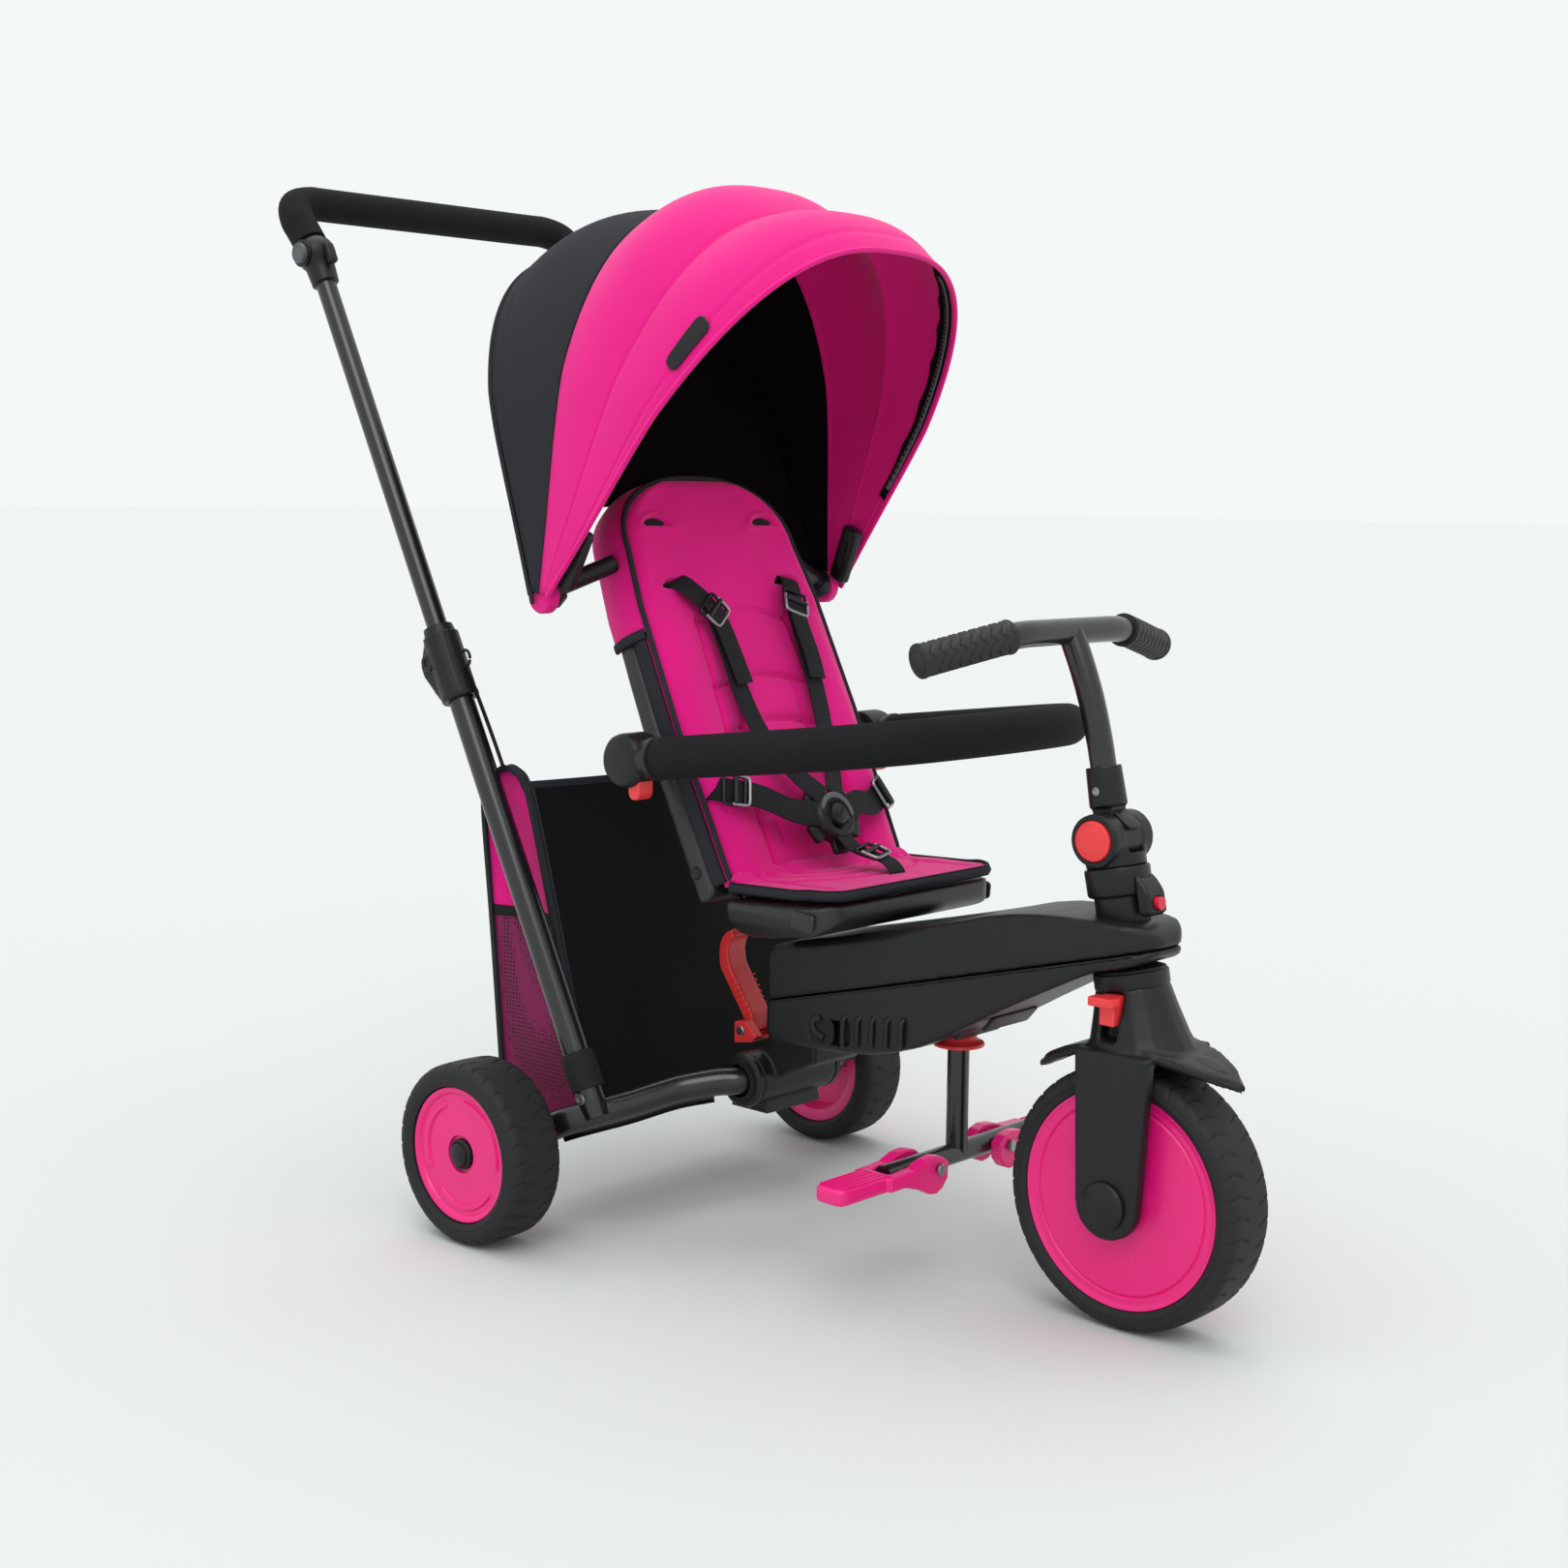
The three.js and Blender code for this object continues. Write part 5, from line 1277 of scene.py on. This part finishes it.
def canopy():
    def place(u, v):
        v = canopy_v(v * 100, 100)
        seam = 0.0
        for angle, deep in ((SEAMS[1], 1.3), (SEAMS[2], 1.0), (108.5, 0.8), (56.2, 0.9)):
            seam += deep * groove((u - share(angle)) / 0.0045, 1.0)
        return on_canopy(u, v, -1.4 - seam)

    black = share(SEAMS[1])
    cover = grid("canopy_cloth", place, 220, 130, "canopy", "canopy_fabric",
                 [BLACK_CLOTH, LINING, LOOK["canopy_fabric"], LOOK["canopy_fabric"]],
                 paint=lambda u, v: 0 if u < black else 2)
    normals = [p for p in cover.data.polygons if p.center.z > 0.86]
    if sum(p.normal.z for p in normals) < 0:
        cover.data.flip_normals()
    shell = cover.modifiers.new("thickness", "SOLIDIFY")
    shell.thickness = 0.0016
    shell.offset = -1
    shell.material_offset = 1
    baked(cover)
    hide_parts("canopy_cover")
    for name, u, radius, material in (("hem_piping", 1.0, 2.2, LOOK["canopy_fabric"]),
                                      ("bow_piping", share(SEAMS[1]), 1.3, BLACK_CLOTH),
                                      ("rear_piping", CURTAIN, 1.9, BLACK_CLOTH),
                                      ("curtain_hem", 0.0, 1.9, BLACK_CLOTH)):
        line = [on_canopy(u, canopy_v(k, 200), -0.9) for k in range(201)]
        sweep(name, curve_points(line, 220), ring(radius, 12), "canopy",
                           "canopy_fabric" if material is not BLACK_CLOTH else "bag_fabric", material)
    inside = [on_canopy(CURTAIN + 0.004, canopy_v(k, 200), -5) for k in range(201)]
    sweep("inner_piping", curve_points(inside, 220), ring(1.4, 10), "canopy", "canopy_fabric")

    # A blank label along the near front hem.
    def label(u, v):
        corner = 0.16
        inset = 0.0
        if v < corner or v > 1 - corner:
            k = (corner - min(v, 1 - v)) / corner
            inset = 0.28 * (1 - math.sqrt(max(0.0, 1 - k * k)))
        across = mix(inset, 1 - inset, u)
        return on_canopy(mix(0.935, 0.975, across), mix(0.182, 0.238, v), 0.4)

    patch = grid("label_patch", label, 10, 40, "canopy", "bag_fabric", SATIN_BLACK, thickness=0.9)
    # Inside the far front: a dark scalloped band with a zip along it.
    def scalloped(u, v):
        wave = 0.16 * abs(math.sin(v * math.pi * 7))
        return on_canopy(mix(0.995, 0.952 + 0.04 * wave, u), mix(0.60, 0.93, v), -4.2)

    band = grid("zip_band", scalloped, 8, 140, "canopy", "bag_fabric", LINING, thickness=1.2)
    teeth = [on_canopy(0.985, v, -5.6) for v in np.linspace(0.62, 0.92, 120)]
    zipper = sweep("zip_teeth", curve_points(teeth, 240), flat_section(4.6, 2), "canopy", "grey_plastic",
                   LOOK["grey_plastic"], up=(0, -1, 0))
    for k, v in enumerate(np.linspace(0.63, 0.91, 46)):
        p = on_canopy(0.985, v, -6.6)
        q = on_canopy(0.985, v + 0.004, -6.6)
        way = (q - p).normalized()
        side = way.cross(Vector((0, -1, 0))).normalized()
        rounded(f"zip_tooth_{k}", oblong(4, 1.6, 0.5, 2), 1, p, (0, -1, 0), way, "canopy", "grey_plastic",
                SLOT_SHADE_AND_ZIP_BLACK, bevel=0.3, segments=1)
    for side, s in SIDES:
        copied(f"canopy_bracket_{side}", f"hub_arm_{side}", "backrest", "black_plastic", voxel=0.9, rounds=4)
        toward = Vector((0.42, 0, 0.9))
        rounded(f"bow_clip_{side}", oblong(20, 52, 4), 9, at(58, s * 163, 566), (0.2, s, 0), toward,
                "canopy", "black_plastic", bevel=2)
        # Near-black plates on both faces of each clip: painted shade for the clip's slot.
        rounded(f"bow_clip_slot_{side}", oblong(8, 26, 3), 1.2, at(59.5, s * 172, 567), (0.2, s, 0), toward,
                "canopy", "black_plastic", SLOT_SHADE_AND_ZIP_BLACK, bevel=0.4)
        rounded(f"bow_clip_slot_in_{side}", oblong(8, 26, 3), 1.2, at(58, s * 162.8, 566), (-0.2, -s, 0),
                toward,
                "canopy", "black_plastic", SLOT_SHADE_AND_ZIP_BLACK, bevel=0.4)
        hub = [(0, -3), (12.6, -3), (14.2, -1.5), (14.2, 6), (12.8, 8), (0, 8.6)]
        lathe(f"bow_hub_{side}", hub, at(PIVOT_X, s * 169, 535), (0, s, 0), "canopy", "canopy_fabric",
              turns=44)


# ---- storage bag ----
def storage_bag():
    half = 147

    def front(u, v):
        z = mix(94, 373, v)
        y = mix(-half, half, u)
        x = mix(61, -18, v)
        sag = 5 * math.sin(math.pi * v) * math.sin(math.pi * u)
        ripple = 0.8 * math.sin(u * 21 + 3 * v) * math.sin(math.pi * v)
        return at(x - 3 + sag * 0.2 + ripple * 0.5, y, z - 2.5 * math.sin(math.pi * u) * step(0.8, 1, v))

    def rear(u, v):
        z = mix(94, 354, v)
        x = np.interp(z, (106, 240, 340, 356), (-49, -62, -73, -73.5))
        y = mix(-half, half, u)
        return at(x + 1.5 + 1.2 * math.sin(math.pi * u) * math.sin(5 * v), y,
                  z - 6 * math.sin(math.pi * u) * step(0.8, 1, v))

    def base(u, v):
        return at(mix(-48, 60, v), mix(-half, half, u), 94 + 3 * math.sin(math.pi * v))

    panels = []
    panels.append(grid("bag_front", front, 60, 60, "rear_frame", "bag_fabric", thickness=1.6))
    panels.append(grid("bag_rear", rear, 60, 60, "rear_frame", "bag_fabric", thickness=1.6))
    panels.append(grid("bag_base", base, 30, 20, "rear_frame", "bag_fabric", thickness=1.6))
    for side, s in SIDES:
        def gusset(u, v, s=s):
            z = mix(94, 384, v)
            low = np.interp(z, (106, 240, 340, 356, 388), (-49, -62, -73, -73.5, -50))
            high = np.interp(z, (106, 372, 374, 388), (61.5, -18.5, -20, -47))
            x = mix(low, high, u)
            dip = 4.5 * math.sin(math.pi * u) * math.sin(math.pi * v)
            gather = 1.2 * math.sin(u * 15) * groove((z - 262) / 26, 1)
            return at(x, s * (half - dip + gather), z)

        panel = grid(f"bag_gusset_{side}", gusset, 40, 90, "rear_frame", "liner_fabric",
                     [LOOK["liner_fabric"], BURGUNDY_MESH], paint=lambda u, v: 0 if v > 0.58 else 1,
                     thickness=1.4)
        panels.append(panel)
        elastic = [gusset(u, (262 - 94) / 290, s) + Vector((0, s * 0.0012, 0)) for u in np.linspace(0, 1,
                                                                                                    24)]
        sweep(f"bag_elastic_{side}", curve_points(elastic, 40), flat_section(9, 2),
                           "rear_frame",
                           "bag_fabric", WEBBING, up=(0, s, 0))
        outline = [(-48, 94), (-62, 240), (-73, 340), (-72, 356), (-62, 374), (-48, 386), (-34, 384),
                   (-22, 374),
                   (-6, 334), (63, 95)]
        edge = [at(x, s * (half + 0.3), z) for x, z in outline]
        sweep(f"bag_binding_{side}", curve_points(edge, 150), flat_section(3.4, 8),
                           "rear_frame",
                           "bag_fabric", BLACK_CLOTH, up=(0, s, 0))
    for name, rim in (("front", [front(u, 1) for u in np.linspace(0, 1, 40)]),
                      ("rear", [rear(u, 1) for u in np.linspace(0, 1, 40)])):
        sweep(f"bag_hem_{name}", curve_points(rim, 80), flat_section(7, 3), "rear_frame",
                           "bag_fabric",
                           BLACK_CLOTH, up=(1, 0, 0.2))
    tab = rounded("bag_tab", oblong(17, 40, 3), 1, at(-1, -126, 244), (1, 0, 0.3), (-0.3, -0.1, 1),
                  "rear_frame",
                  "bag_fabric", SATIN_BLACK, bevel=0.4)
    whole = panels[0]
    bpy.ops.object.select_all(action="DESELECT")
    for panel in panels:
        panel.select_set(True)
    bpy.context.view_layer.objects.active = whole
    bpy.ops.object.join()
    whole.name = "bag_cloth"
    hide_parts("storage_bag")


# ---- footrest ----
def footrest():
    post = sweep("footrest_post", curve_points([at(331, 0, 97), at(331, 0, 236)], 12), ring(8.8, 40),
                 "footrest",
                 "black_tube", up=(0, 1, 0))
    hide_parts("footrest_frame")
    sweep("footrest_cross", curve_points([at(331, -92, 97), at(331, 92, 97)], 12), ring(8.5, 40), "footrest",
          "black_tube", up=(0, 0, 1))
    collar = [(9.4, 184.6), (17, 184.6), (20.4, 185.4), (20.8, 186.6), (20.2, 188), (16.4, 189.6),
              (14.4, 192),
              (13.8, 203), (9.4, 203), (9.4, 184.6)]
    ring_piece = lathe("latch_collar", collar, at(331, 0, 0), (0, 0, 1), "footrest_latch", "coral_plastic",
                       turns=56)
    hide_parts("footrest_latch")
    for side, s in SIDES:
        copied(f"foot_peg_{side}", f"peg_{side}", f"foot_peg_{side}", "pink_plastic", voxel=0.9, rounds=4)
        for k in range(6):
            line = [at(319 + k * 4.9, s * 102, 102.1), at(319 + k * 4.9, s * 152, 102.1)]
            sweep(f"peg_rib_{side}_{k}", curve_points(line, 8), flat_section(1.6, 1.0), f"foot_peg_{side}",
                  "pink_plastic", up=(0, 0, 1))
        for x, way in ((352.4, 1), (309.6, -1)):
            pin = [(0, -1), (4.6, -1), (4.6, 0.8), (3.8, 1.6), (0, 1.7)]
            lathe(f"peg_pin_{side}_{way}", pin, at(x, s * 46, 97), (way, 0, 0), f"foot_peg_{side}",
                  "grey_plastic",
                  DARK_METAL, turns=28)


for side, s in SIDES:
    rear_wheel(side, s)
front_wheel()
fork()
steering()
boom()
fold_lever()
rear_frame()
push_handle()
grained_shells()
back_liner()
back_sides()
seat_liner()
harness()
arm_bar()
canopy()
storage_bag()
footrest()

place_camera()
light_studio()
